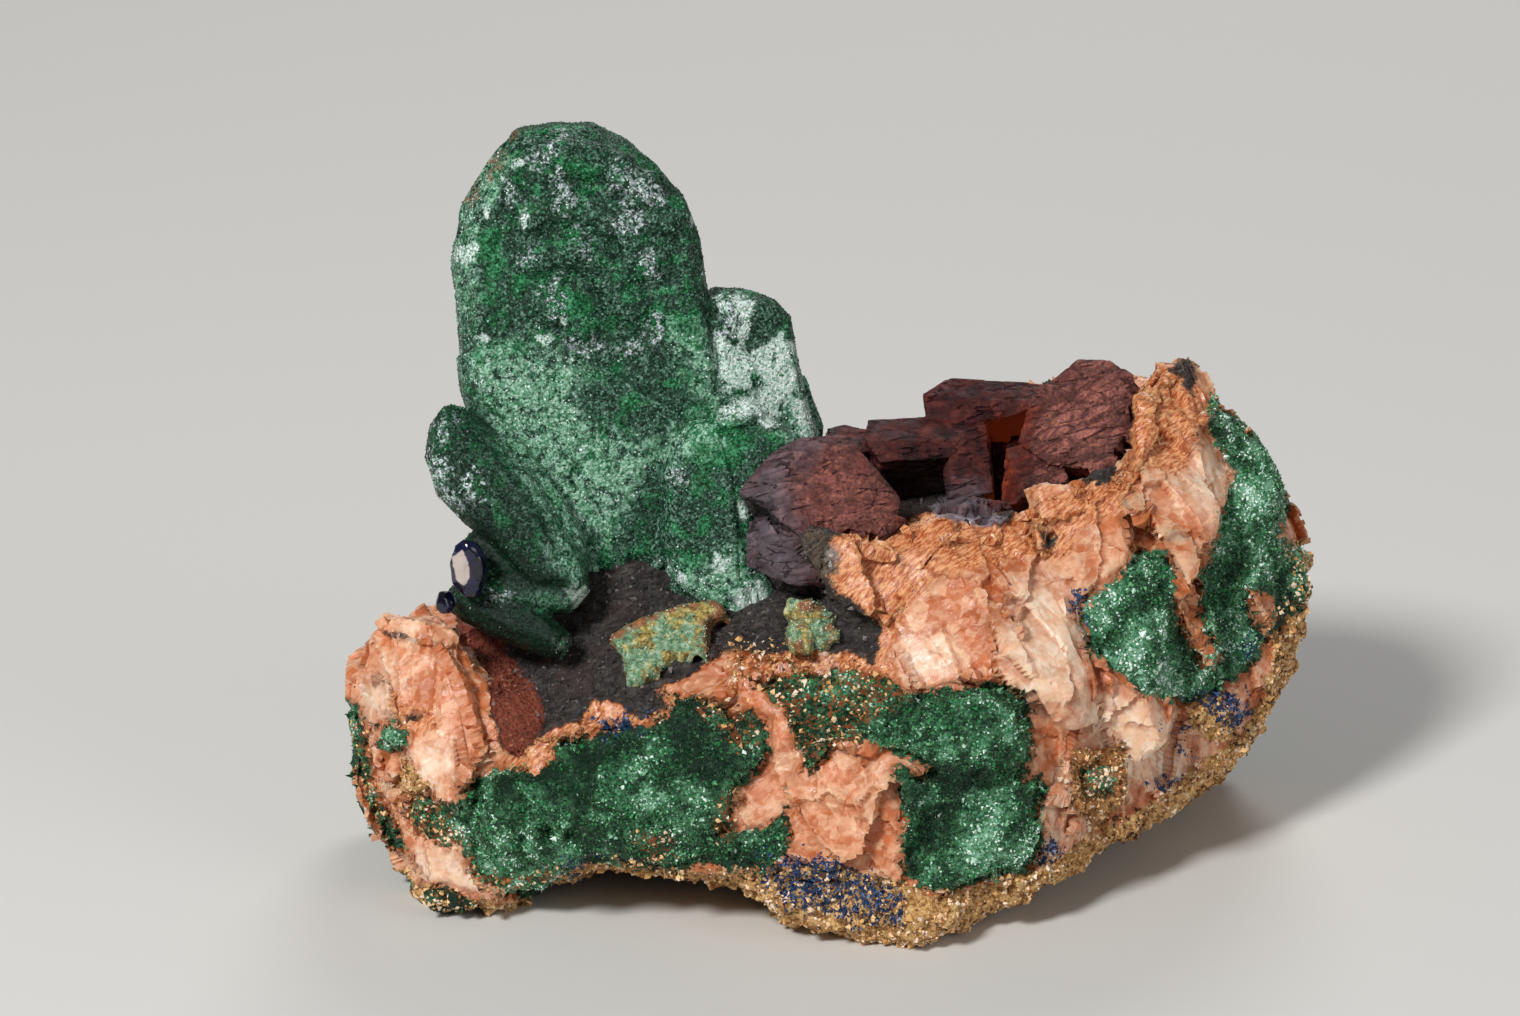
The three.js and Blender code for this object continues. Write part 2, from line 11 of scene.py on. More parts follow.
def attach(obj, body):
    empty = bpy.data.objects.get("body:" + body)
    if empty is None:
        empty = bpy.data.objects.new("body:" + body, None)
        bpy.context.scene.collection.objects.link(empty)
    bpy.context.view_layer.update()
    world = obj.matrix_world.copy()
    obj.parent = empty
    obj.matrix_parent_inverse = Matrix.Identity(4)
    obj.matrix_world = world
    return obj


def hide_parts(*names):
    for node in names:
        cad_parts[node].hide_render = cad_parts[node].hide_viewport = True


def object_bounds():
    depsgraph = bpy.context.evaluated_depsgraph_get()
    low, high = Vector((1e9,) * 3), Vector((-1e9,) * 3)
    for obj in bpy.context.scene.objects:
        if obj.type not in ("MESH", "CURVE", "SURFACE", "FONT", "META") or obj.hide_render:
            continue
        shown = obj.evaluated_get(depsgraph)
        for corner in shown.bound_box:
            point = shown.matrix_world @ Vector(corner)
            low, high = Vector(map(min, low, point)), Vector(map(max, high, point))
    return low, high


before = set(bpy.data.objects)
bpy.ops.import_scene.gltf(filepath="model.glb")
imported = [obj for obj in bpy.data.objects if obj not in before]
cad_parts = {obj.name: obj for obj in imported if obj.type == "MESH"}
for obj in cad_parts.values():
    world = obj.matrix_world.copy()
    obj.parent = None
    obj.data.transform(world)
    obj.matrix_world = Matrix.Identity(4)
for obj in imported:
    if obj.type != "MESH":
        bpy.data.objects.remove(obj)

bl_info = {
    "name": "Malachite Specimen",
    "version": (1, 0, 0),
    "blender": (4, 5, 0),
    "location": "3D View > Sidebar > Specimen",
    "description": "Builds malachite blades after azurite, standing on a lump of calcite rock",
    "category": "Add Mesh",
}

CAD_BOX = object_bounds()
MM = 0.001

# The picture's view: 20 degrees above the horizon, with 60 mm of rock over 954 pixels.
PICTURE_WIDTH = 1520
PICTURE_MIDDLE = (760, 508)
ROCK_WIDTH = 60 * MM
ROCK_WIDTH_SEEN = 954
PIXEL = ROCK_WIDTH / ROCK_WIDTH_SEEN
VIEW_TILT = math.radians(20)
EYE_DISTANCE = 385 * MM
VIEW_TARGET = np.array((-4.662, -2.124, 23.7)) * MM  # the point at the picture's middle
VIEW_RIGHT = np.array((1.0, 0.0, 0.0))
VIEW_UP = np.array((0.0, math.sin(VIEW_TILT), math.cos(VIEW_TILT)))
VIEW_NEAR = np.array((0.0, -math.cos(VIEW_TILT), math.sin(VIEW_TILT)))
EYE = VIEW_TARGET + VIEW_NEAR * EYE_DISTANCE
SENSOR_WIDTH = 36.0
SPOT_DEPTH = 0.6 * MM  # how deep the middle of a spot counts


def colour(code):
    """The linear colour of a six-figure paint code."""
    parts = [int(code[i : i + 2], 16) / 255 for i in (1, 3, 5)]
    return tuple(((c + 0.055) / 1.055) ** 2.4 if c > 0.04045 else c / 12.92 for c in parts)


# The sizes and colours that a user would change
def length(name, description, mm):
    """A size property, with its default in mm."""
    return FloatProperty(name=name, description=description, default=mm * MM, unit="LENGTH", precision=5)


def tint(name, description, code):
    """A colour property, with its default as a paint code."""
    return FloatVectorProperty(
        name=name, description=description, default=colour(code), subtype="COLOR", min=0, max=1
    )


def count(name, description, number):
    """A property that says how many there are."""
    return IntProperty(name=name, description=description, default=number, min=0)


class SpecimenSizes(bpy.types.PropertyGroup):
    """Sizes of the specimen's fine surface"""

    rock_mesh: length("Rock mesh", "Edge length of the rock's mesh", 0.2)
    blade_mesh: length("Blade mesh", "Edge length of the main blades' mesh", 0.2)
    small_mesh: length("Small mesh", "Edge length of the small crystals' meshes", 0.145)
    crust_grain: length("Crust grain", "Width of a malachite or azurite grain on the rock", 0.17)
    blade_grain: length("Blade grain", "Width of a malachite grain on the blades", 0.13)
    ochre_grain: length("Ochre grain", "Width of an ochre grain", 0.27)
    crust_grains: count("Crust grains", "How many malachite grains grow on the rock's front", 30000)
    behind_grains: count("Grains behind", "How many malachite grains grow on its other sides", 7500)
    blade_grains: count("Blade grains", "How many malachite grains grow on the main blades", 15000)
    fan_grains: count("Fan grains", "How many malachite grains grow on the fan", 6000)
    ochre_grains: count("Ochre grains", "How many ochre grains lie under the rock", 13000)
    azurite_grains: count("Azurite grains", "How many azurite grains lie on the rock", 2600)
    floor_grains: count("Floor grains", "How many dark and rusty grains lie in the hollow", 8000)
    bare_grains: count("Flake grains", "How many grains grow on the flake and the nodules", 2000)


class SpecimenColours(bpy.types.PropertyGroup):
    """Colours of the specimen's minerals"""

    salmon: tint("Salmon calcite", "The calcite's main colour", "#CB7344")
    rose: tint("Rose calcite", "The calcite's milky parts", "#D98C66")
    cream: tint("Cream calcite", "The calcite's pale patches", "#EEC3A0")
    orange: tint("Orange calcite", "The calcite's iron-stained seams", "#B45E30")
    deep_green: tint("Deep green", "Malachite in shade and between grains", "#0B2A18")
    green: tint("Green", "The malachite's main colour", "#216B3A")
    emerald: tint("Emerald", "The malachite's bright grains and patches", "#1F8448")
    mint: tint("Mint", "The malachite's pale grains", "#9CD0B0")
    ochre: tint("Ochre", "Limonite under the rock", "#E9B877")
    blue: tint("Blue", "Azurite grains", "#2A4A78")
    navy: tint("Navy", "Azurite crystals", "#040410")
    charcoal: tint("Charcoal", "The hollow's dark lining", "#3E3835")
    brick: tint("Brick", "Red iron oxide", "#9A4A36")
    maroon: tint("Maroon", "The rhombs' smooth faces", "#6B6168")
    floor: tint("Floor", "The floor and the backdrop", "#D9D7D2")


# Noise, worked out from whole-number hashes so that it is the same each run
def hashed(cells, seed):
    """A number from 0 to 1 for each whole-number place in space."""
    c = cells.astype(np.int64)
    mixed = (c[..., 0] * 374761393 + c[..., 1] * 668265263 + c[..., 2] * 2147483647) & 0xFFFFFFFF
    mixed = (mixed + seed * 1274126177) & 0xFFFFFFFF
    mixed = ((mixed ^ (mixed >> 13)) * 1274126177) & 0xFFFFFFFF
    mixed = mixed ^ (mixed >> 16)
    return (mixed & 0xFFFFFF) / float(0x1000000)


TURN = np.array(((0.36, 0.48, -0.8), (-0.8, 0.6, 0.0), (0.48, 0.64, 0.6)))  # turns each octave


def smooth_noise(points, size, seed=0):
    """Noise from -1 to 1 whose bumps have one size."""
    places = points / size
    base = np.floor(places)
    part = places - base
    part = part * part * (3 - 2 * part)
    total = np.zeros(len(points))
    for corner in product((0, 1), repeat=3):
        weight = np.prod(np.where(corner, part, 1 - part), axis=1)
        total += weight * hashed(base + corner, seed)
    return 2 * total - 1


def rough_noise(points, size, octaves=3, seed=0):
    """Noise from about -1 to 1 whose bumps carry smaller bumps."""
    total = np.zeros(len(points))
    reach = 0.0
    for octave in range(octaves):
        share = 0.55**octave
        points = points @ TURN
        total += share * smooth_noise(points, size / 2**octave, seed + octave)
        reach += share
    return total / reach


def grains(points, size, seed=0):
    """For each point its cell's number, a random value of the cell, and the distances in sizes
    to the nearest and the next cell's middle."""
    places = points @ TURN / size
    base = np.floor(places)
    near = np.full(len(points), 9.0)
    far = near.copy()
    owner = np.zeros_like(base)
    for step in product((-1, 0, 1), repeat=3):
        cell = base + step
        middle = cell + np.stack([hashed(cell, seed + k) for k in range(3)], axis=1)
        gap = np.linalg.norm(places - middle, axis=1)
        closer = gap < near
        far = np.where(closer, near, np.minimum(far, gap))
        owner[closer] = cell[closer]
        near = np.where(closer, gap, near)
    _, number = np.unique(owner, axis=0, return_inverse=True)
    return number.ravel(), hashed(owner, seed + 7), near, far


def eased(values, low, high):
    """0 below low, 1 above high and a smooth rise between."""
    t = np.clip((values - low) / (high - low), 0, 1)
    return t * t * (3 - 2 * t)


# Places in the picture
def in_picture(points):
    """Where points are seen, in pixels of the picture."""
    from_eye = points - EYE
    pixel_there = PIXEL * -(from_eye @ VIEW_NEAR) / EYE_DISTANCE
    x = PICTURE_MIDDLE[0] + from_eye @ VIEW_RIGHT / pixel_there
    y = PICTURE_MIDDLE[1] - from_eye @ VIEW_UP / pixel_there
    return x, y


def depth_inside(outline, x, y, reach=60):
    """How far each seen place is inside an outline, in metres, and below 0 outside it."""
    corners = np.array(outline, float)
    low = corners.min(axis=0) - reach
    high = corners.max(axis=0) + reach
    close = (x > low[0]) & (x < high[0]) & (y > low[1]) & (y < high[1])
    result = np.full(len(x), -reach * PIXEL)
    px = x[close]
    py = y[close]
    nearest = np.full(len(px), np.inf)
    inside = np.zeros(len(px), bool)
    for (ax, ay), (bx, by) in zip(corners, np.roll(corners, -1, axis=0)):
        run = (bx - ax, by - ay)
        along = ((px - ax) * run[0] + (py - ay) * run[1]) / (run[0] ** 2 + run[1] ** 2)
        share = np.clip(along, 0, 1)
        gap = np.hypot(px - ax - share * run[0], py - ay - share * run[1])
        nearest = np.minimum(nearest, gap)
        if ay != by:
            crosses = (ay > py) != (by > py)
            inside ^= crosses & (px < ax + (py - ay) * run[0] / run[1])
    result[close] = np.where(inside, nearest, -nearest) * PIXEL
    return result


def depth_in_spots(spots, x, y):
    """Metres inside the nearest of the oval spots, each its middle and half sizes in pixels."""
    shares = [1 - np.hypot((x - px) / half_x, (y - py) / half_y) for px, py, half_x, half_y in spots]
    return np.max(shares, axis=0) * SPOT_DEPTH


def depth_in_any(outlines, x, y):
    """Metres inside the outline that each seen place lies deepest in."""
    return np.max([depth_inside(outline, x, y) for outline in outlines], axis=0)


# Where each mineral shows on the rock's front, as outlines in the picture
GREEN_CRUSTS = [
    [
        (461, 805), (480, 780), (497, 768), (536, 774), (553, 763), (553, 746), (584, 738),
        (604, 729), (643, 729), (666, 718), (674, 698), (694, 698), (727, 704), (750, 712),
        (767, 721), (769, 749), (761, 766), (747, 777), (733, 791), (730, 813), (739, 836),
        (780, 819), (787, 809), (787, 830), (784, 850), (777, 865), (746, 870), (700, 865),
        (637, 869), (587, 861), (570, 872), (545, 895), (520, 897), (480, 881), (464, 847),
        (452, 836), (446, 815),
    ],
    [
        (761, 684), (782, 676), (830, 672), (879, 677), (904, 694), (930, 692), (950, 687),
        (965, 694), (998, 684), (1016, 689), (1027, 707), (1032, 733), (1032, 753),
        (1022, 779), (1039, 779), (1050, 789), (1039, 809), (1042, 830), (1037, 855),
        (1027, 870), (1001, 876), (976, 883), (945, 891), (922, 888), (904, 881), (904, 850),
        (904, 817), (896, 794), (899, 776), (879, 756), (856, 741), (830, 748), (828, 758),
        (812, 773), (797, 748), (787, 715), (771, 694),
    ],
    [
        (1159, 546), (1139, 552), (1126, 569), (1109, 585), (1083, 605), (1081, 622),
        (1093, 652), (1119, 672), (1143, 692), (1186, 704), (1232, 690), (1249, 668),
        (1270, 640), (1290, 615), (1308, 592), (1306, 552), (1279, 536), (1288, 506),
        (1284, 470), (1266, 436), (1240, 412), (1209, 398), (1212, 436), (1226, 456),
        (1235, 473), (1229, 489), (1221, 509), (1219, 536), (1212, 549), (1190, 540),
    ],
    [(346, 700), (358, 706), (365, 740), (374, 790), (392, 822), (405, 852), (392, 852), (350, 760)],
    [(379, 726), (396, 722), (406, 734), (400, 748), (388, 756), (378, 744)],
    [(418, 798), (448, 806), (466, 830), (452, 848), (424, 838), (404, 812)],
    [(421, 886), (452, 890), (480, 905), (470, 922), (430, 915)],
    [(1082, 770), (1110, 766), (1122, 782), (1104, 800), (1086, 796)],
    [(850, 809), (876, 806), (890, 822), (884, 840), (862, 838), (850, 824)],
]
CALCITE_ISLANDS = [
    [
        (1162, 539), (1174, 579), (1177, 615), (1186, 642), (1199, 662), (1215, 667),
        (1221, 658), (1212, 635), (1202, 615), (1205, 595), (1199, 572), (1212, 562),
        (1219, 536), (1190, 530),
    ],
    [(1245, 589), (1272, 595), (1275, 622), (1262, 635), (1249, 612)],
    [(1222, 685), (1245, 675), (1262, 692), (1262, 708), (1245, 715), (1232, 712)],
    [
        (728, 702), (746, 689), (764, 692), (779, 710), (789, 738), (805, 768), (794, 779),
        (784, 794), (769, 796), (749, 784), (766, 763), (771, 743), (766, 720), (751, 710),
        (733, 717),
    ],
    [(728, 807), (746, 801), (759, 814), (743, 830), (730, 818)],
    [(720, 829), (730, 826), (734, 835), (726, 840), (719, 836)],
    [(1022, 779), (1037, 753), (1057, 763), (1044, 779)],
    [
        (830, 745), (856, 738), (879, 745), (894, 752), (922, 763), (934, 774), (922, 777),
        (896, 769), (894, 794), (902, 819), (904, 850), (904, 876), (889, 881), (868, 870),
        (863, 860), (843, 865), (812, 865), (794, 858), (784, 868), (776, 863), (789, 845),
        (787, 809), (800, 781), (830, 768),
    ],
    [(1039, 804), (1050, 786), (1075, 786), (1080, 802), (1078, 825), (1057, 842), (1052, 865),
     (1034, 872), (1041, 835)],
]
OCHRE_RIMS = [
    [
        (404, 878), (421, 884), (450, 893), (500, 905), (522, 900), (545, 893), (570, 870),
        (590, 859), (632, 856), (650, 866), (700, 870), (748, 876), (780, 866), (800, 864),
        (850, 868), (900, 884), (945, 893), (1001, 878), (1040, 868), (1080, 840),
        (1120, 822), (1165, 795), (1192, 770), (1240, 738), (1262, 700), (1275, 650),
        (1268, 625), (1290, 590), (1292, 548), (1330, 548), (1330, 760), (1180, 850),
        (1000, 960), (900, 985), (720, 940), (600, 900), (540, 960), (400, 950),
    ],
    [(1186, 694), (1216, 700), (1236, 718), (1240, 742), (1212, 742), (1190, 722)],
    [(1280, 540), (1308, 546), (1310, 575), (1292, 566)],
    [(404, 760), (432, 786), (420, 800), (398, 786)],
    [(1070, 750), (1125, 745), (1128, 800), (1090, 835), (1072, 800)],
]
BLUE_SPOTS = [
    [(757, 872), (787, 858), (843, 862), (880, 880), (905, 892), (900, 922), (840, 918),
     (790, 912), (760, 890)],
    [(1036, 852), (1056, 838), (1062, 850), (1046, 872)],
    [(584, 712), (618, 722), (650, 716), (646, 736), (600, 734)],
    [(1246, 632), (1262, 636), (1258, 656), (1240, 660)],
    [(1074, 588), (1086, 584), (1090, 596), (1080, 616), (1072, 610)],
    [(1168, 730), (1180, 720), (1184, 724), (1174, 734)],
    [(1172, 739), (1192, 752), (1188, 756), (1170, 746)],
    [(1144, 778), (1172, 784), (1170, 790), (1146, 786)],
    [(560, 866), (586, 858), (580, 868), (560, 878)],
    [(1176, 692), (1200, 704), (1236, 736), (1252, 712), (1230, 690), (1206, 690)],
]
DARK_LINING = [
    [
        (455, 618), (480, 600), (520, 520), (620, 480), (760, 420), (860, 400), (920, 380),
        (1085, 350), (1109, 372), (1126, 400), (1134, 420), (1126, 456), (1109, 483),
        (1080, 483), (1033, 499), (1000, 527), (968, 519), (935, 512), (908, 520),
        (880, 530), (842, 530), (826, 548), (822, 574), (838, 595), (855, 600), (884, 630), (874, 664),
        (853, 655), (800, 648), (762, 655), (735, 648), (715, 655), (700, 668), (672, 680),
        (657, 690), (668, 708), (655, 716), (638, 720), (620, 706), (595, 701), (579, 721),
        (540, 736), (516, 752), (500, 745), (492, 712), (489, 684), (475, 653), (458, 636),
    ],
    [(382, 629), (392, 634), (408, 634), (408, 638), (390, 639), (380, 634)],
    [(1036, 540), (1046, 530), (1056, 536), (1054, 548), (1042, 550)],
    [(404, 716), (414, 712), (424, 714), (416, 720), (406, 722)],
    [(1164, 372), (1180, 362), (1192, 354), (1198, 378), (1192, 396), (1180, 376)],
]
RED_VELVET = [
    [
        (455, 618), (482, 622), (502, 640), (516, 662), (530, 682), (544, 702), (544, 724),
        (530, 744), (516, 758), (504, 750), (498, 728), (492, 706), (490, 686), (476, 655),
        (459, 640),
    ],
]
RUSTY_RIMS = [
    [
        (822, 560), (828, 546), (844, 528), (880, 528), (905, 520), (935, 513), (968, 520), (1000, 529),
        (1033, 501), (1080, 485), (1109, 484), (1128, 458), (1134, 420), (1126, 400),
        (1140, 398), (1150, 430), (1140, 480), (1110, 510), (1076, 530), (1064, 560),
        (1020, 556), (985, 560), (940, 572), (905, 600), (890, 640), (882, 660), (884, 630),
        (856, 600), (838, 592),
    ],
    [(725, 648), (770, 640), (800, 642), (873, 660), (900, 690), (860, 690), (800, 672), (750, 672)],
    [
        (505, 757), (520, 752), (540, 736), (580, 720), (594, 702), (622, 707), (640, 722),
        (657, 714), (668, 706), (656, 690), (664, 684), (676, 694), (672, 712), (650, 730),
        (610, 728), (590, 736), (560, 748), (540, 772), (518, 770), (500, 768),
    ],
    [(395, 700), (408, 715), (424, 712), (440, 720), (430, 728), (405, 724)],
    [(1140, 365), (1190, 372), (1200, 420), (1180, 470), (1150, 470), (1140, 420)],
]
PALE_CALCITE = [
    [(896, 562), (908, 548), (928, 552), (938, 570), (922, 582), (902, 576)],
    [(836, 546), (842, 542), (846, 550), (840, 556)],
    [(1010, 590), (1040, 574), (1078, 606), (1094, 660), (1064, 706), (1018, 700), (1004, 650)],
    [(896, 646), (930, 636), (962, 650), (944, 674), (904, 672)],
    [(412, 745), (442, 738), (456, 768), (438, 794), (418, 778)],
    [(1078, 690), (1130, 700), (1200, 740), (1190, 780), (1110, 790), (1080, 740)],
    [(1140, 455), (1162, 455), (1160, 500), (1142, 495)],
    [(1180, 430), (1232, 470), (1215, 520), (1185, 500)],
    [(1040, 790), (1078, 790), (1074, 826), (1045, 860)],
    [(412, 850), (446, 850), (500, 895), (470, 895), (412, 878)],
    [(362, 690), (392, 660), (400, 720), (380, 716)],
]
MIXED_CRUSTS = [
    [(724, 650), (742, 640), (766, 648), (800, 654), (850, 650), (880, 672), (800, 666)],
    [
        (725, 660), (770, 640), (830, 650), (873, 668), (905, 700), (880, 712), (856, 738),
        (828, 752), (812, 770), (796, 745), (786, 712), (765, 690), (735, 690),
    ],
    [(404, 796), (440, 806), (464, 830), (455, 850), (420, 842), (398, 815)],
    [(352, 716), (362, 712), (372, 750), (384, 790), (396, 824), (380, 816), (362, 780)],
    [(1060, 750), (1123, 744), (1125, 800), (1090, 830), (1066, 800)],
    [(716, 800), (736, 786), (744, 800), (734, 836), (716, 838)],
    [(700, 700), (750, 708), (762, 740), (740, 752), (716, 726), (696, 712)],
    [(470, 862), (520, 876), (566, 862), (560, 880), (500, 896), (468, 880)],
    [(632, 836), (668, 832), (676, 850), (650, 862)],
]
UMBER_STAINS = [
    [(818, 446), (834, 404), (870, 392), (905, 380), (932, 392), (934, 440)],
    [(800, 540), (808, 526), (826, 530), (838, 548), (834, 574), (814, 580)],
]
PLUM_PLATE = [
    (928, 508), (946, 497), (975, 494), (990, 502), (1007, 518), (990, 528), (960, 524), (936, 516),
]
# Where light through the red rhombs lights the hollow's back: a painted glow, red colour on the rock and
# the rhombs and a faint emission on the rhombs
PAINTED_GLOW_DEPTHS = [
    [(978, 424), (1000, 415), (1040, 405), (1030, 440), (1016, 502), (990, 506), (1000, 460)],
]
# Holes and grooves: middle in the picture's pixels, half width in pixels, and depth in mm
PITS = (
    (414, 716, 9, 0.8), (405, 719, 6, 0.5), (424, 714, 6, 0.6), (1042, 541, 9, 1.5), (1052, 536, 6, 1.0),
    (434, 727, 4, 0.5), (545, 836, 14, 0.9), (570, 838, 14, 0.8), (520, 842, 12, 0.6), (745, 800, 6, 0.4),
    (862, 824, 10, 0.6), (900, 600, 5, 0.4), (700, 820, 8, 0.3),
)
# The rock behind the back plates, seen just over them, and how far it is lowered
RIDGE_BEHIND = [(836, 430), (856, 404), (905, 390), (934, 390), (934, 424), (880, 434)]
RIDGE_DROP = 1.4 * MM
# The hidden half of the hollow: middle and half sizes in mm
HOLLOW_MIDDLE = np.array((0.0, 3.5, 20.5)) * MM
HOLLOW_HALVES = np.array((21.0, 10.0, 6.5)) * MM
# Middle of the painted glow at the hollow's back, light through the red rhombs
GLOW_MIDDLE = np.array((11.0, 8.0, 27.5)) * MM  # the red inside at the hollow's back


def front_share(surface, rounds=12):
    """1 where the surface faces the viewer and 0 where it faces away."""
    return surface.spread(eased(surface.normals() @ VIEW_NEAR, -0.3, -0.05), rounds)


def rock_regions(points, front, normals):
    """How deep each point lies inside each mineral's region, in metres."""
    x, y = in_picture(points)
    wander = 4.5  # pixels by which noise moves the edges
    x = x + wander * (rough_noise(points, 2.2 * MM, 3, 11) + 0.5 * rough_noise(points, 0.9 * MM, 2, 13))
    y = y + wander * (rough_noise(points, 2.2 * MM, 3, 17) + 0.5 * rough_noise(points, 0.9 * MM, 2, 19))
    patches = rough_noise(points, 13 * MM, 3, 23) * 5 * MM
    rust_patches = rough_noise(points, 9 * MM, 3, 29) * 4 * MM
    low = (3.2 * MM - points[:, 2]) + rough_noise(points, 4 * MM, 3, 31) * 3 * MM
    facing_down = (-normals[:, 2] - 0.45) * 4 * MM
    in_hollow = (1 - np.linalg.norm((points - HOLLOW_MIDDLE) / HOLLOW_HALVES, axis=1)) * 6 * MM

    def seen_or(outlines, hidden):
        return front * depth_in_any(outlines, x, y) + (1 - front) * hidden

    islands = depth_in_any(CALCITE_ISLANDS, x, y)
    green = np.minimum(depth_in_any(GREEN_CRUSTS, x, y), -islands)
    dark = seen_or(DARK_LINING, in_hollow)
    regions = {
        "green": front * green + (1 - front) * np.minimum(patches + 0.4 * MM, -in_hollow - 3 * MM),
        "ochre": seen_or(OCHRE_RIMS, np.maximum(low, facing_down)),
        "blue": seen_or(BLUE_SPOTS, rust_patches - 2.2 * MM),
        "dark": dark,
        "velvet": seen_or(RED_VELVET, np.full(len(points), -1 * MM)),
        "rust": seen_or(RUSTY_RIMS, np.maximum(rust_patches - 1 * MM, in_hollow + 1.5 * MM)) + 0.3 * MM,
        "pale": seen_or(PALE_CALCITE, rough_noise(points, 6 * MM, 2, 37) * 2 * MM - 0.6 * MM),
        "mixed": seen_or(MIXED_CRUSTS, rust_patches - 2 * MM),
        "umber": seen_or(UMBER_STAINS, np.full(len(points), -1 * MM)),
        "plum": seen_or([PLUM_PLATE], np.full(len(points), -1 * MM)),
        "glow": seen_or(PAINTED_GLOW_DEPTHS, 5 * MM - np.linalg.norm(points - GLOW_MIDDLE, axis=1)),
    }
    regions["green"] = np.minimum(regions["green"], -dark - 0.1 * MM)
    return regions


# Paler and darker parts of the malachite crust, as outlines in the picture: partly the crust's own pale and
# dark patches, partly painted light on lit lumps and painted shade, as under the ledge at the lower left
LIT_AND_PALE_CRUSTS = [
    [(1088, 600), (1106, 588), (1122, 604), (1120, 636), (1100, 646), (1088, 630)],
    [(1100, 646), (1140, 626), (1170, 650), (1188, 682), (1180, 704), (1140, 690)],
    [(1196, 590), (1216, 586), (1224, 610), (1208, 624)],
    [(1228, 430), (1250, 450), (1270, 500), (1280, 540), (1258, 560), (1236, 500)],
    [(474, 812), (520, 800), (572, 820), (600, 850), (560, 886), (500, 880)],
    [(990, 700), (1016, 690), (1026, 730), (1010, 756)],
    [(930, 800), (980, 790), (1010, 830), (970, 850)],
]
SHADED_AND_DARK_CRUSTS = [
    [(556, 730), (620, 706), (690, 700), (730, 712), (700, 744), (620, 760), (570, 770)],
    [(1128, 566), (1150, 554), (1162, 590), (1154, 622), (1134, 612)],
    [(1172, 430), (1196, 440), (1214, 520), (1200, 560), (1180, 500)],
    [(900, 690), (960, 680), (984, 710), (960, 746), (910, 740)],
    [(536, 824), (584, 822), (600, 834), (560, 842)],
    [(910, 770), (960, 760), (1000, 780), (960, 796)],
]


def crust_tone(points, front):
    """How pale the malachite crust on the rock is from place to place, with painted light and shade in it.
    """
    x, y = in_picture(points)
    _, _, near, _ = grains(points, 0.8 * MM, 59)
    tone = 0.85 * rough_noise(points, 1.5 * MM, 3, 61) + 0.5 * rough_noise(points, 5 * MM, 2, 63)
    # Clumps are paler in the middle and darker in the gaps between them: painted light and shade
    tone += 0.5 * (0.5 - near) - 0.07
    x = x + 8 * rough_noise(points, 1.6 * MM, 3, 65)
    # Painted light on lit lumps and painted shade, mixed with the crust's own pale and dark patches
    tone += 0.14 * front * eased(depth_in_any(LIT_AND_PALE_CRUSTS, x, y), -0.5 * MM, 0.6 * MM)
    tone -= 0.2 * front * eased(depth_in_any(SHADED_AND_DARK_CRUSTS, x, y), -0.5 * MM, 0.6 * MM)
    return tone + 0.26 * front * eased(x, 1060, 1110)


def within_box(points):
    """The points, kept inside the box of the solid model."""
    return np.clip(points, np.array(CAD_BOX[0]), np.array(CAD_BOX[1]))


# Meshes held as arrays
def read(collection, name, width, kind=np.float64):
    """One value or several of each item of a mesh, as an array."""
    values = np.empty(len(collection) * width, kind)
    collection.foreach_get(name, values)
    return values.reshape(-1, width) if width > 1 else values


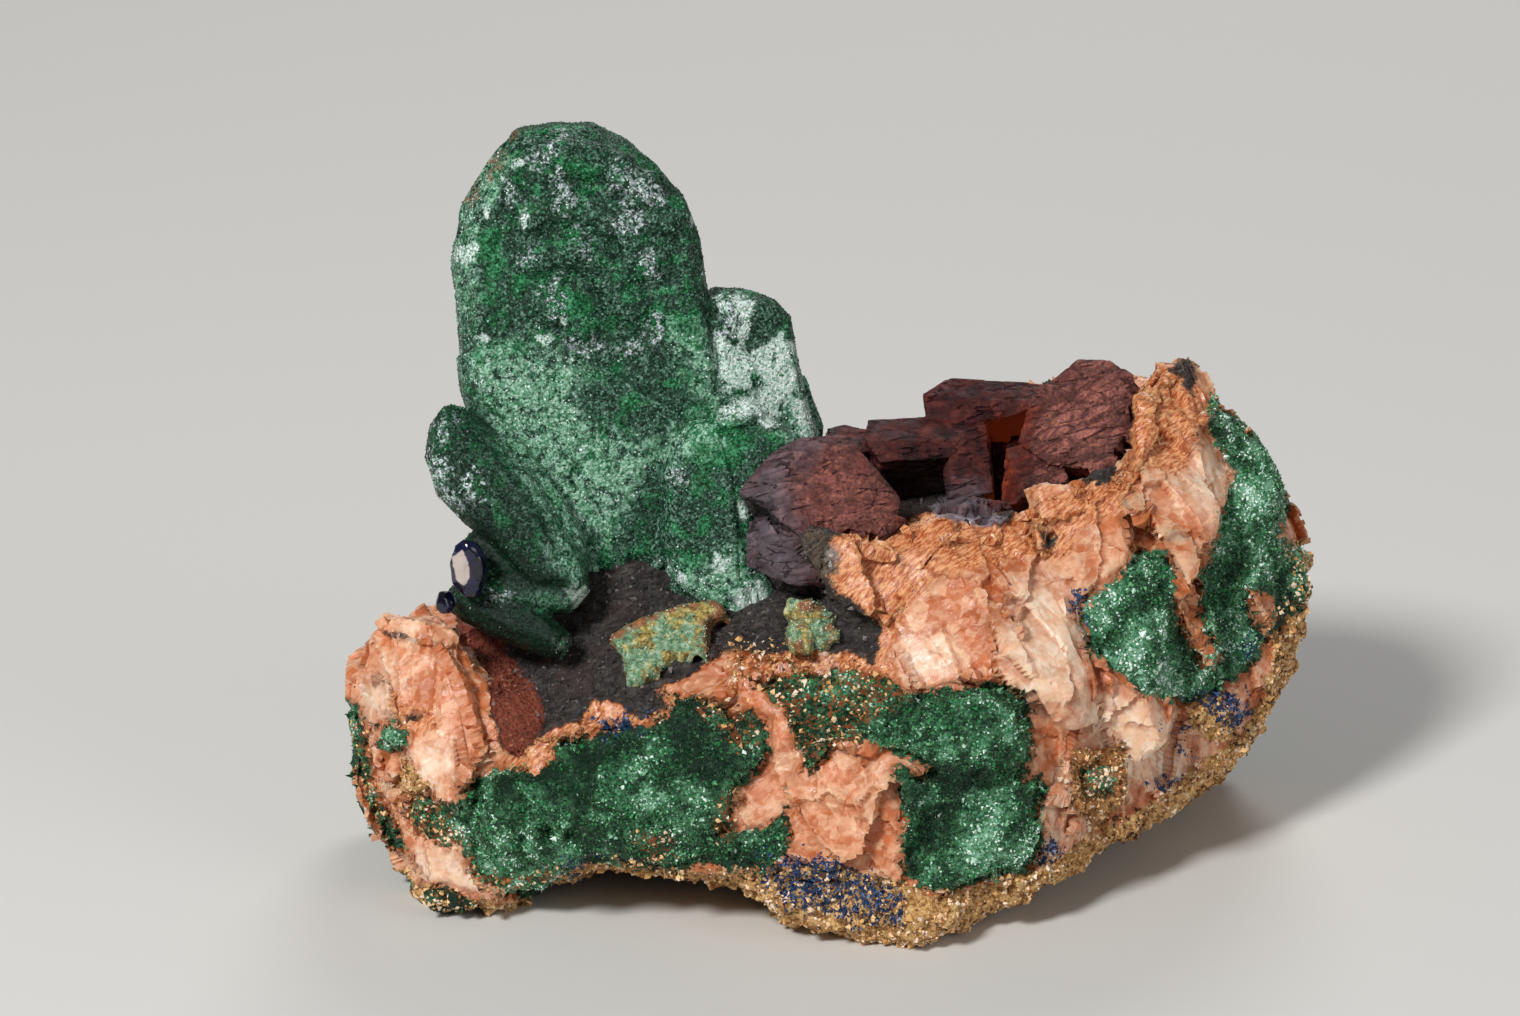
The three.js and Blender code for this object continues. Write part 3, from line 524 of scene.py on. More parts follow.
class Surface:
    """A mesh of triangles as arrays of points, faces and edges."""

    def __init__(self, mesh):
        self.mesh = mesh
        self.points = read(mesh.vertices, "co", 3)
        self.faces = read(mesh.loops, "vertex_index", 1, np.int32).reshape(-1, 3)
        self.edges = read(mesh.edges, "vertices", 2, np.int32)
        self.links = np.bincount(self.edges.ravel(), minlength=len(self.points))

    def face_normals(self):
        a, b, c = (self.points[self.faces[:, k]] for k in range(3))
        return np.cross(b - a, c - a)

    def normals(self):
        """A normal for each point, from the faces around it."""
        across = self.face_normals()
        total = np.zeros_like(self.points)
        for axis in range(3):
            weights = np.repeat(across[:, axis], 3)
            total[:, axis] = np.bincount(self.faces.ravel(), weights, len(self.points))
        return total / np.maximum(np.linalg.norm(total, axis=1, keepdims=True), 1e-12)

    def push(self, distance):
        """Moves each point out along its normal."""
        self.points += self.normals() * np.asarray(distance)[:, None]

    def spread(self, values, rounds):
        """Values of the points, each evened out with those of its neighbours."""
        first, second = self.edges.T
        for _ in range(rounds):
            around = np.bincount(first, values[second], len(values))
            around += np.bincount(second, values[first], len(values))
            values = (values + around / self.links) / 2
        return values

    def relax(self, share, rounds):
        """Moves each point towards the middle of its neighbours."""
        share = np.broadcast_to(share, len(self.points))[:, None]
        for _ in range(rounds):
            even = np.stack([self.spread(self.points[:, axis], 1) for axis in range(3)], 1)
            self.points += 2 * share * (even - self.points)

    def ridges(self):
        """Above 0 on ridges and below 0 in creases, as a share of the mesh's edge length."""
        even = np.stack([self.spread(self.points[:, axis], 2) for axis in range(3)], 1)
        return np.einsum("ij,ij->i", self.points - even, self.normals()) / (0.1 * MM)

    def flatten_cells(self, size, amount, directions, snap, seed, most, stretch=np.eye(3)):
        """Turns the surface into flat-faced cells. Each cell's face leans from the surface's own
        normal towards the nearest of the cleavage directions by the share snap."""
        normals = self.normals()
        number, _, _, _ = grains(self.points @ stretch, size, seed)
        cells = number.max() + 1
        sizes = np.bincount(number, minlength=cells)[:, None]
        middle = np.stack([np.bincount(number, self.points[:, k], cells) for k in range(3)], 1) / sizes
        facing = np.stack([np.bincount(number, normals[:, k], cells) for k in range(3)], 1)
        facing /= np.maximum(np.linalg.norm(facing, axis=1, keepdims=True), 1e-9)
        match = facing @ directions.T
        best = np.argmax(np.abs(match), axis=1)
        sign = np.sign(match[np.arange(cells), best])[:, None]
        facing = (1 - snap) * facing + snap * sign * directions[best]
        facing /= np.linalg.norm(facing, axis=1, keepdims=True)
        plane = facing[number]
        lift = np.einsum("ij,ij->i", middle[number] - self.points, plane)
        slant = np.maximum(np.einsum("ij,ij->i", normals, plane), 0.5)
        move = np.clip(lift / slant, -most, most)
        self.points += normals * (move * amount)[:, None]

    def snap_to(self, tree):
        """Moves each point to the nearest place on a solid's faces, which makes the edges crisp."""
        for i, point in enumerate(self.points):
            self.points[i] = tree.find_nearest(point)[0]

    def sink_to(self, tree, within, depth):
        """Moves points that lie close to a neighbouring piece a little way into it."""
        for i, point in enumerate(self.points):
            place, normal, _, distance = tree.find_nearest(point, within)
            if place is not None:
                self.points[i] = place - normal * depth

    def write(self):
        self.points = within_box(self.points)
        self.mesh.vertices.foreach_set("co", self.points.astype(np.float32).ravel())
        self.mesh.update()

    def note(self, name, values):
        """Stores a value for each point, for the material."""
        attribute = self.mesh.attributes.new(name, "FLOAT", "POINT")
        attribute.data.foreach_set("value", np.asarray(values, np.float32))

    def tree(self):
        return BVHTree.FromPolygons(self.points.tolist(), self.faces.tolist())


def solid_tree(node):
    """The faces of a node's solid, ready to look up the nearest place on them."""
    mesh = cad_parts[node].data
    return BVHTree.FromPolygons([v.co for v in mesh.vertices], [tuple(p.vertices) for p in mesh.polygons])


def modified(mesh, *modifiers):
    """The mesh after modifiers, each given as its kind and its settings."""
    holder = bpy.data.objects.new("holder", mesh)
    bpy.context.scene.collection.objects.link(holder)
    for kind, settings in modifiers:
        modifier = holder.modifiers.new(kind, kind)
        for name, value in settings.items():
            setattr(modifier, name, value)
    depsgraph = bpy.context.evaluated_depsgraph_get()
    result = bpy.data.meshes.new_from_object(holder.evaluated_get(depsgraph))
    bpy.data.objects.remove(holder)
    bpy.data.meshes.remove(mesh)
    return result


def remeshed(node, name, edge):
    """A new piece with an even mesh over the shape of a node of the frame."""
    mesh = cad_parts[node].data.copy()
    mesh = modified(mesh, ("REMESH", {"mode": "VOXEL", "voxel_size": edge}), ("TRIANGULATE", {}))
    mesh.name = name
    mesh.materials.clear()
    piece = bpy.data.objects.new(name, mesh)
    bpy.context.scene.collection.objects.link(piece)
    return piece, Surface(mesh)


def thinned(piece, share):
    """The piece's surface once its flattest parts have lost triangles, with that share left."""
    full = piece.data
    piece.data = modified(full.copy(), ("DECIMATE", {"ratio": share}))
    bpy.data.meshes.remove(full)
    surface = Surface(piece.data)
    surface.write()
    return surface


def dress(piece, material, nodes=(), crease=32):
    """Gives a piece its material, its body and the nodes that it stands for."""
    piece.data.materials.clear()
    piece.data.materials.append(material)
    if crease:
        piece.data.shade_smooth()
        piece.data.set_sharp_from_angle(angle=math.radians(crease))
    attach(piece, "root")
    if nodes:
        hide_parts(*nodes)


# Small crystals in great number, joined in one mesh
CRYSTAL_POINTS = np.array(
    ((1, 0.25, -0.3), (-0.15, 0.8, -0.35), (-1, -0.2, -0.3), (0.2, -0.8, -0.35), (0.2, 0.1, 1))
)
CRYSTAL_FACES = np.array(((0, 1, 4), (1, 2, 4), (2, 3, 4), (3, 0, 4), (0, 2, 1), (0, 3, 2)))


def scattered(surface, weights, number, seed):
    """Random places on a surface, with the normal and the first corner of the face there."""
    rng = np.random.default_rng(seed)
    across = surface.face_normals()
    area = np.linalg.norm(across, axis=1)
    chance = area * np.maximum(weights[surface.faces].mean(axis=1), 0)
    chosen = rng.choice(len(area), number, p=chance / chance.sum())
    corners = surface.points[surface.faces[chosen]]
    u = np.sqrt(rng.random((number, 1)))
    v = rng.random((number, 1))
    places = corners[:, 0] * (1 - u) + corners[:, 1] * u * (1 - v) + corners[:, 2] * u * v
    normals = across[chosen] / area[chosen, None]
    return places, normals, surface.faces[chosen, 0], rng


def unit(vectors):
    """The vectors, each made one long."""
    return vectors / np.maximum(np.linalg.norm(vectors, axis=1, keepdims=True), 1e-12)


def crystal_mesh(name, places, axes, spins, widths, heights, tones):
    """Joins one small crystal for each place. Each points along its axis and has its own tone."""
    side = unit(np.cross(axes, spins))
    other = np.cross(axes, side)
    local = CRYSTAL_POINTS[None]
    points = (
        local[..., 0:1] * side[:, None] * widths[:, None, None]
        + local[..., 1:2] * other[:, None] * widths[:, None, None]
        + local[..., 2:3] * axes[:, None] * heights[:, None, None]
        + places[:, None]
    )
    points = within_box(points)
    faces = CRYSTAL_FACES[None] + np.arange(len(places))[:, None, None] * len(CRYSTAL_POINTS)
    mesh = bpy.data.meshes.new(name)
    mesh.from_pydata(points.reshape(-1, 3), [], faces.reshape(-1, 3))
    tone = mesh.attributes.new("tone", "FLOAT", "POINT")
    tone.data.foreach_set("value", np.repeat(tones, len(CRYSTAL_POINTS)).astype(np.float32))
    piece = bpy.data.objects.new(name, mesh)
    bpy.context.scene.collection.objects.link(piece)
    return piece


def druse(
    name, surface, weights, number, size, seed, sway=0.8, cluster=0.0, tone=None, tall=(0.9, 1.8),
    spread=1.0, mixture=0.3,
):
    """A crust of small crystals on a surface. Crystals in one cluster point much the same way.
    Their heights are between the two shares tall of their half width, and mixture says how much
    their sizes differ."""
    places, normals, corner, rng = scattered(surface, weights, number, seed)
    stray = rng.normal(size=(number, 3))
    if cluster:
        cell, _, _, _ = grains(places, cluster, seed + 5)
        shared = rng.normal(size=(cell.max() + 1, 3))
        stray = 0.3 * stray + shared[cell]
    axes = unit(normals + sway * stray)
    spins = stray + 0.2 * rng.normal(size=(number, 3))
    widths = size * np.exp(rng.normal(0, mixture, number)) / 2
    heights = widths * rng.uniform(*tall, number)
    tones = spread * rng.random(number)
    if tone is not None:
        tones = np.clip(tones + tone[corner], 0, 1)
    return crystal_mesh(name, places, axes, spins, widths, heights, tones)


# Materials
class Nodes:
    """A short way to write a node tree."""

    def __init__(self, tree):
        self.tree = tree
        self.point = tree.nodes.new("ShaderNodeTexCoord").outputs["Object"]

    def add(self, kind, inputs=None, **settings):
        node = self.tree.nodes.new(kind)
        for name, value in settings.items():
            setattr(node, name, value)
        for name, value in (inputs or {}).items():
            self.feed(node.inputs[name], value)
        return node

    def feed(self, socket, value):
        if isinstance(value, bpy.types.NodeSocket):
            self.tree.links.new(value, socket)
        elif socket.type == "RGBA":
            socket.default_value = (*value, 1)
        else:
            socket.default_value = value

    def noise(self, size, detail=3, rough=0.55, distort=0.0, point=None):
        """Noise with bumps of a size in metres."""
        return self.add(
            "ShaderNodeTexNoise",
            {"Vector": point or self.point, "Scale": 1 / size, "Detail": detail, "Roughness": rough,
             "Distortion": distort},
        ).outputs["Fac"]

    def cells(self, size, feature="F1", output="Distance", point=None):
        return self.add(
            "ShaderNodeTexVoronoi", {"Vector": point or self.point, "Scale": 1 / size}, feature=feature
        ).outputs[output]

    def math(self, operation, first, second=0.0, clamp=False):
        node = self.add("ShaderNodeMath", operation=operation, use_clamp=clamp)
        self.feed(node.inputs[0], first)
        self.feed(node.inputs[1], second)
        return node.outputs[0]

    def rise(self, value, low, high, to=(0, 1)):
        """A smooth rise from low to high."""
        inputs = {"Value": value, "From Min": low, "From Max": high, "To Min": to[0], "To Max": to[1]}
        return self.add("ShaderNodeMapRange", inputs, interpolation_type="SMOOTHSTEP").outputs[0]

    def mix(self, share, first, second, blend="MIX"):
        node = self.add("ShaderNodeMix", data_type="RGBA", blend_type=blend)
        self.feed(node.inputs[0], share)
        self.feed(node.inputs[6], first)
        self.feed(node.inputs[7], second)
        return node.outputs[2]

    def blend(self, share, first, second):
        """Between two normals."""
        node = self.add("ShaderNodeMix", data_type="VECTOR")
        self.feed(node.inputs[0], share)
        self.feed(node.inputs[4], first)
        self.feed(node.inputs[5], second)
        return node.outputs[1]

    def ramp(self, value, *stops):
        node = self.add("ShaderNodeValToRGB", {"Fac": value})
        elements = node.color_ramp.elements
        while len(elements) < len(stops):
            elements.new(0.5)
        for element, (place, shade) in zip(elements, stops):
            element.position = place
            element.color = (*shade, 1)
        return node.outputs["Color"]

    def stored(self, name):
        """A value that the mesh holds for each point."""
        return self.add("ShaderNodeAttribute", attribute_name=name).outputs["Fac"]

    def stretched(self, scale, turn=(0, 0, 0)):
        """The place in space, turned and then stretched."""
        shrunk = tuple(1 / share for share in scale)
        return self.add(
            "ShaderNodeMapping", {"Vector": self.point, "Rotation": turn, "Scale": shrunk},
            vector_type="TEXTURE",
        ).outputs[0]

    def warped(self, point, size, amount):
        """The place in space, moved by noise of a size."""
        noise = self.add("ShaderNodeTexNoise", {"Vector": point, "Scale": 1 / size, "Detail": 2})
        centred = self.add("ShaderNodeVectorMath", operation="SUBTRACT")
        self.feed(centred.inputs[0], noise.outputs["Color"])
        self.feed(centred.inputs[1], (0.5, 0.5, 0.5))
        scaled = self.add("ShaderNodeVectorMath", operation="SCALE")
        self.feed(scaled.inputs[0], centred.outputs[0])
        self.feed(scaled.inputs["Scale"], amount)
        total = self.add("ShaderNodeVectorMath", operation="ADD")
        self.feed(total.inputs[0], point)
        self.feed(total.inputs[1], scaled.outputs[0])
        return total.outputs[0]

    def bump(self, height, depth, strength=1.0, normal=None):
        node = self.add("ShaderNodeBump", {"Height": height, "Distance": depth, "Strength": strength})
        if normal is not None:
            self.feed(node.inputs["Normal"], normal)
        return node.outputs[0]

    def group(self, tree, **inputs):
        node = self.add("ShaderNodeGroup", node_tree=tree)
        for name, value in inputs.items():
            self.feed(node.inputs[name.replace("_", " ").capitalize()], value)
        return node.outputs


def new_group(name, inputs, outputs):
    """An empty node group with named sockets: its nodes, its input and its output node."""
    tree = bpy.data.node_groups.new(name, "ShaderNodeTree")
    for label, default in inputs.items():
        socket = tree.interface.new_socket(label, in_out="INPUT", socket_type="NodeSocketFloat")
        socket.default_value = default
    for label, kind in outputs.items():
        tree.interface.new_socket(label, in_out="OUTPUT", socket_type=kind)
    nodes = Nodes(tree)
    return nodes, nodes.add("NodeGroupInput").outputs, nodes.add("NodeGroupOutput").inputs


def region_edge_group():
    """Turns a region's depth into a mask with a ragged edge."""
    g, given, result = new_group(
        "Region edge",
        {"Depth": 0.0, "Raggedness": 0.2 * MM, "Softness": 0.05 * MM},
        {"Mask": "NodeSocketFloat"},
    )
    ragged = g.math("SUBTRACT", g.noise(0.7 * MM, 4, 0.65), 0.5)
    shift = g.math("MULTIPLY", ragged, g.math("MULTIPLY", given["Raggedness"], 4.0))
    depth = g.math("ADD", given["Depth"], shift)
    low = g.math("MULTIPLY", given["Softness"], -1.0)
    g.feed(result["Mask"], g.rise(depth, low, given["Softness"]))
    return g.tree


def crystal_grain_group():
    """Tiny crystal faces: a random value for each grain, its height, and a normal that tips."""
    g, given, result = new_group(
        "Crystal grain",
        {"Scale": 4000.0, "Tip": 0.5},
        {"Value": "NodeSocketFloat", "Height": "NodeSocketFloat", "Normal": "NodeSocketVector"},
    )
    cells = g.add("ShaderNodeTexVoronoi", {"Vector": g.point, "Scale": given["Scale"]})
    value = g.add("ShaderNodeSeparateColor", {"Color": cells.outputs["Color"]}).outputs[0]
    centred = g.add("ShaderNodeVectorMath", operation="SUBTRACT")
    g.feed(centred.inputs[0], cells.outputs["Color"])
    g.feed(centred.inputs[1], (0.5, 0.5, 0.5))
    tipped = g.add("ShaderNodeVectorMath", operation="SCALE")
    g.feed(tipped.inputs[0], centred.outputs[0])
    g.feed(tipped.inputs["Scale"], given["Tip"])
    total = g.add("ShaderNodeVectorMath", operation="ADD")
    g.feed(total.inputs[0], tipped.outputs[0])
    g.feed(total.inputs[1], g.add("ShaderNodeNewGeometry").outputs["Normal"])
    normal = g.add("ShaderNodeVectorMath", operation="NORMALIZE")
    g.feed(normal.inputs[0], total.outputs[0])
    g.feed(result["Value"], value)
    g.feed(result["Height"], g.math("SUBTRACT", 1.0, cells.outputs["Distance"]))
    g.feed(result["Normal"], normal.outputs[0])
    return g.tree


GROUPS = {}


def shared(name):
    """The node group that materials share, built when it is first asked for."""
    makers = {"edge": region_edge_group, "grain": crystal_grain_group}
    if name not in GROUPS:
        GROUPS[name] = makers[name]()
    return GROUPS[name]


def new_material(name, **constants):
    """A material with one Principled shader whose constants are set on its own sockets."""
    material = bpy.data.materials.new(name)
    material.use_nodes = True
    tree = material.node_tree
    shader = tree.nodes["Principled BSDF"]
    for label, value in constants.items():
        shader.inputs[label.replace("_", " ")].default_value = value
    return material, Nodes(tree), shader.inputs


def mask_of(g, name, raggedness=0.2, softness=0.05):
    """The mask of a stored region. The raggedness and softness of its edge are in mm."""
    return g.group(
        shared("edge"), depth=g.stored(name), raggedness=raggedness * MM, softness=softness * MM
    )["Mask"]


def dimmed(shade, share):
    """A colour times a share."""
    return tuple(c * share for c in shade)


def calcite_colour(g, paints):
    """Salmon to cream calcite, cleaved in blocks, with iron in its seams."""
    blocks = g.warped(g.stretched((1, 1.7, 1.25), (0.5, 0.3, 0.7)), 1.2 * MM, 0.4 * MM)
    base = g.ramp(
        g.noise(2.8 * MM, 5, 0.65, 0.6), (0.34, dimmed(paints.salmon, 0.72)), (0.46, paints.salmon),
        (0.56, paints.rose), (0.68, paints.cream),
    )
    for size, channel, share in ((1.9, 0, 0.55), (0.8, 1, 0.5), (0.4, 2, 0.3)):
        block = g.cells(size * MM, output="Color", point=blocks)
        tone = g.add("ShaderNodeSeparateColor", {"Color": block}).outputs[channel]
        base = g.mix(g.rise(tone, 0.62, 1.0, (0, share)), base, paints.cream)
        base = g.mix(g.rise(tone, 0.38, 0.0, (0, share)), base, dimmed(paints.salmon, 0.7))
    milky = g.rise(g.noise(1.3 * MM, 4, 0.7, 0.6), 0.56, 0.68)
    pale = g.mix(g.rise(g.noise(1.1 * MM, 4, 0.7), 0.36, 0.62), paints.cream, (0.96, 0.8, 0.63))
    base = g.mix(g.math("MULTIPLY", milky, 0.3), base, pale)
    base = g.mix(g.math("MULTIPLY", mask_of(g, "pale", 0.9, 1.3), 0.8), base, pale)
    # Painted light: the calcite is paler on ridges, a painted highlight, and orange in creases, iron stain
    # and painted shade together
    ridge = g.stored("ridge")
    base = g.mix(g.rise(ridge, 0.1, 0.5, (0, 0.3)), base, paints.cream)
    base = g.mix(g.rise(ridge, -0.08, -0.45, (0, 0.45)), base, paints.orange)
    seams = g.cells(2.3 * MM, "DISTANCE_TO_EDGE", point=blocks)
    thin = g.rise(seams, 0.03, 0.0)
    thin = g.math("MULTIPLY", thin, g.rise(g.noise(2.8 * MM, 3), 0.5, 0.66))
    return g.mix(g.math("MULTIPLY", thin, 0.5), base, paints.orange), seams, tone


def rock_material(paints):
    """Calcite under green, ochre, blue and dark crusts, each in its stored region."""
    material, g, shader = new_material(
        "Cleaved calcite with mineral crusts",
        Subsurface_Weight=0.4,
        Subsurface_Radius=(1.0, 0.45, 0.25),
        Subsurface_Scale=1.2 * MM,
        Specular_IOR_Level=0.35,
    )
    calcite, seams, glint = calcite_colour(g, paints)
    grain = g.group(shared("grain"), scale=1 / (0.15 * MM), tip=0.55)
    facets = g.group(shared("grain"), scale=1 / (0.75 * MM), tip=0.22)
    rusty = mask_of(g, "rust", 0.6, 0.35)
    fibres = g.noise(0.5 * MM, 4, 0.7, point=g.stretched((1, 3.2, 1), (0.4, 0.2, 0.9)))
    rust = g.ramp(
        fibres, (0.3, dimmed(paints.brick, 0.45)), (0.44, paints.orange), (0.6, (0.82, 0.42, 0.2))
    )
    base = g.mix(g.math("MULTIPLY", rusty, 0.88), calcite, rust)
    ochre_speckle = g.noise(0.45 * MM, 4, 0.75)
    ochre = g.ramp(
        ochre_speckle, (0.32, (0.05, 0.025, 0.012)), (0.45, (0.42, 0.2, 0.06)), (0.55, paints.ochre),
        (0.68, (0.85, 0.6, 0.34)), (0.78, (0.3, 0.14, 0.07)),
    )
    base = g.mix(mask_of(g, "ochre", 0.45), base, ochre)
    # Clumps are paler in the middle and darker in the gaps between them: painted light and shade
    clumps = g.math("SUBTRACT", 1.0, g.cells(0.75 * MM, point=g.warped(g.point, 0.6 * MM, 0.5 * MM)))
    green_value = g.math("ADD", g.math("MULTIPLY", grain["Value"], 0.4), g.math("MULTIPLY", clumps, 0.35))
    green_value = g.math("ADD", green_value, g.math("MULTIPLY", ochre_speckle, 0.15))
    green_value = g.math("ADD", green_value, g.math("MULTIPLY", g.stored("shade"), 0.6))
    green = g.ramp(
        green_value, (0.2, (0.008, 0.03, 0.014)), (0.4, (0.03, 0.1, 0.045)), (0.56, (0.065, 0.2, 0.1)),
        (0.74, (0.18, 0.42, 0.25)), (0.9, paints.mint),
    )
    vivid = g.rise(g.noise(1.5 * MM, 4, 0.7), 0.52, 0.64, (0, 0.6))
    green = g.mix(vivid, green, g.ramp(green_value, (0.3, (0.004, 0.05, 0.016)), (0.7, paints.emerald)))
    halo = g.rise(g.stored("green"), -0.75 * MM, 0.0)
    halo = g.math("MULTIPLY", halo, g.rise(g.noise(0.9 * MM, 4, 0.7), 0.44, 0.58))
    stain = g.ramp(fibres, (0.35, (0.16, 0.06, 0.025)), (0.6, dimmed(paints.orange, 0.9)))
    base = g.mix(g.math("MULTIPLY", halo, 0.75), base, stain)
    greens = mask_of(g, "green", 0.6, 0.08)
    base = g.mix(greens, base, green)
    mixed = g.math("MULTIPLY", mask_of(g, "mixed", 0.6, 0.3), g.rise(ochre_speckle, 0.5, 0.56))
    base = g.mix(mixed, base, stain)
    blues = g.math("MULTIPLY", mask_of(g, "blue", 0.5), g.rise(g.noise(0.5 * MM, 3, 0.7), 0.48, 0.54))
    base = g.mix(blues, base, g.ramp(fibres, (0.35, dimmed(paints.blue, 0.3)), (0.65, paints.blue)))
    layers = g.noise(0.9 * MM, 5, 0.7, 0.5, g.stretched((1, 2.2, 4.5), (0.3, -0.35, 0.2)))
    lining = g.ramp(
        layers, (0.3, dimmed(paints.charcoal, 0.15)), (0.46, dimmed(paints.charcoal, 0.7)),
        (0.58, (0.075, 0.062, 0.058)), (0.72, (0.17, 0.14, 0.13)),
    )
    darks = mask_of(g, "dark", 0.3, 0.12)
    base = g.mix(darks, base, lining)
    umber = g.ramp(fibres, (0.35, (0.03, 0.024, 0.018)), (0.65, (0.2, 0.15, 0.11)))
    base = g.mix(mask_of(g, "umber", 0.4, 0.2), base, umber)
    warm = g.rise(g.noise(3.2 * MM, 3), 0.52, 0.68)
    base = g.mix(g.math("MULTIPLY", darks, g.math("MULTIPLY", warm, 0.35)), base, (0.09, 0.05, 0.045))
    plate = g.ramp(fibres, (0.35, dimmed(paints.maroon, 1.2)), (0.65, dimmed(paints.maroon, 2.2)))
    base = g.mix(mask_of(g, "plum", 0.2, 0.1), base, plate)
    # Painted glow: light through the red rhombs, painted as red colour on the hollow's back
    inner = mask_of(g, "glow", 0.6, 0.8)
    base = g.mix(inner, base, g.ramp(fibres, (0.38, (0.03, 0.006, 0.004)), (0.66, (0.3, 0.055, 0.02))))
    # The velvet is red-brown, darkest at each pore's middle where the bump sinks it: painted shade in the
    # pores
    pores = g.cells(0.24 * MM)
    velvet = g.ramp(
        pores, (0.0, dimmed(paints.brick, 0.35)), (0.5, dimmed(paints.brick, 0.85)),
        (0.9, (0.3, 0.09, 0.05)),
    )
    velvets = mask_of(g, "velvet", 0.25, 0.1)
    base = g.mix(velvets, base, velvet)
    g.feed(shader["Base Color"], base)

    crusted = g.math("MAXIMUM", mask_of(g, "ochre", 0.45), darks)
    rough = g.rise(glint, 0.0, 1.0, (0.2, 0.5))
    g.feed(shader["Roughness"], g.math("MAXIMUM", rough, g.math("MULTIPLY", crusted, 0.62)))
    steps = g.noise(0.55 * MM, 4, 0.65, point=g.stretched((1, 3.5, 1.4), (0.6, 0.2, 0.9)))
    height = g.math("ADD", g.math("MULTIPLY", g.rise(seams, 0.0, 0.12), 0.5), steps)
    first = g.bump(height, 0.07 * MM, 0.5, g.blend(greens, facets["Normal"], grain["Normal"]))
    coarse = g.math("MULTIPLY", g.math("MAXIMUM", greens, crusted), g.noise(0.26 * MM, 4, 0.75))
    second = g.bump(coarse, 0.4 * MM, 0.9, first)
    g.feed(shader["Normal"], g.bump(g.math("MULTIPLY", velvets, pores), 0.25 * MM, 0.9, second))
    return material


def malachite_grain_material(name, tones, roughness):
    """Small malachite crystals, dark to white by the tone that each of them holds."""
    material, g, shader = new_material(name, Specular_IOR_Level=0.3, Roughness=roughness)
    tone = g.stored("tone")
    varied = g.math("ADD", tone, g.math("MULTIPLY", g.math("SUBTRACT", g.noise(1.6 * MM, 3), 0.5), 0.6))
    g.feed(shader["Base Color"], g.ramp(varied, *tones))
    g.feed(shader["Normal"], g.bump(g.noise(0.07 * MM, 2), 0.03 * MM, 0.5))
    return material


def blade_material(paints):
    """Velvety malachite: slate green, with emerald and mint patches, painted grey-white glints, painted
    light on ridges and painted shade on the fan.
    """
    material, g, shader = new_material("Malachite blades", Specular_IOR_Level=0.15)
    grain = g.group(shared("grain"), scale=1 / (0.13 * MM), tip=0.55)
    fine = g.noise(0.2 * MM, 3, 0.7)
    speck = g.math("ADD", g.math("MULTIPLY", grain["Value"], 0.4), g.math("MULTIPLY", fine, 0.6))
    # Painted light: paler on ridges and darker in creases
    speck = g.math("ADD", speck, g.math("MULTIPLY", g.stored("ridge"), 0.14))
    slate = g.ramp(
        speck, (0.3, (0.003, 0.011, 0.006)), (0.48, (0.012, 0.04, 0.022)), (0.62, (0.05, 0.12, 0.075)),
        (0.76, (0.2, 0.34, 0.26)),
    )
    vivid = g.ramp(
        speck, (0.28, (0.003, 0.028, 0.01)), (0.5, dimmed(paints.emerald, 0.55)),
        (0.74, (0.05, 0.35, 0.14)),
    )
    pale = g.ramp(speck, (0.28, (0.035, 0.16, 0.075)), (0.5, (0.16, 0.37, 0.23)), (0.74, (0.52, 0.74, 0.6)))
    white = g.ramp(speck, (0.3, (0.14, 0.28, 0.19)), (0.5, (0.52, 0.66, 0.58)), (0.7, (0.92, 0.97, 0.95)))
    painted_glints = g.ramp(speck, (0.34, (0.03, 0.05, 0.04)), (0.52, (0.2, 0.25, 0.25)), (0.72, (0.75, 0.8, 0.83)))
    patches = g.rise(g.noise(1.7 * MM, 4, 0.65, 0.5), 0.5, 0.62)
    patches = g.math("MAXIMUM", patches, mask_of(g, "emerald", 0.5, 0.4))
    base = g.mix(g.math("MULTIPLY", patches, 0.75), slate, vivid)
    scattered = g.rise(g.noise(0.6 * MM, 4, 0.75), 0.4, 0.56)
    mint = g.math("MULTIPLY", mask_of(g, "mint", 1.4, 1.1), scattered)
    base = g.mix(mint, base, pale)
    # Painted shade, stored for each point of the fan
    base = g.mix(g.stored("painted_fan_shade"), base, (0.003, 0.01, 0.006))
    # Pale streaks: white-mint fibres, partly a painted highlight
    streaks = g.noise(0.6 * MM, 4, 0.75, point=g.stretched((2.2, 1, 0.7), (0.2, 0.5, 0)))
    streaks = g.math("MULTIPLY", mask_of(g, "white", 0.5, 0.2), g.rise(streaks, 0.36, 0.48))
    base = g.mix(streaks, base, white)
    # Painted glints: highlights on the knobs painted as grey-white colour
    glinting = g.math("MULTIPLY", mask_of(g, "painted_glints", 1.3, 0.3), g.rise(g.noise(0.35 * MM, 3), 0.4, 0.55))
    base = g.mix(glinting, base, painted_glints)
    # Painted shade: the fan's faces in shadow turn nearly black
    base = g.mix(g.math("MULTIPLY", mask_of(g, "painted_shade", 0.6, 0.4), 0.78), base, (0.003, 0.01, 0.006))
    rusts = g.math("MULTIPLY", mask_of(g, "rust", 0.6, 0.3), g.rise(scattered, 0.3, 0.7))
    base = g.mix(rusts, base, g.ramp(fine, (0.35, (0.09, 0.03, 0.02)), (0.6, (0.4, 0.17, 0.1))))
    g.feed(shader["Base Color"], base)
    g.feed(shader["Roughness"], g.rise(fine, 0.3, 0.7, (0.26, 0.46)))
    scales = g.bump(g.noise(0.6 * MM, 4, 0.7), 0.3 * MM, 0.6, grain["Normal"])
    g.feed(shader["Normal"], g.bump(fine, 0.06 * MM, 0.6, scales))
    return material


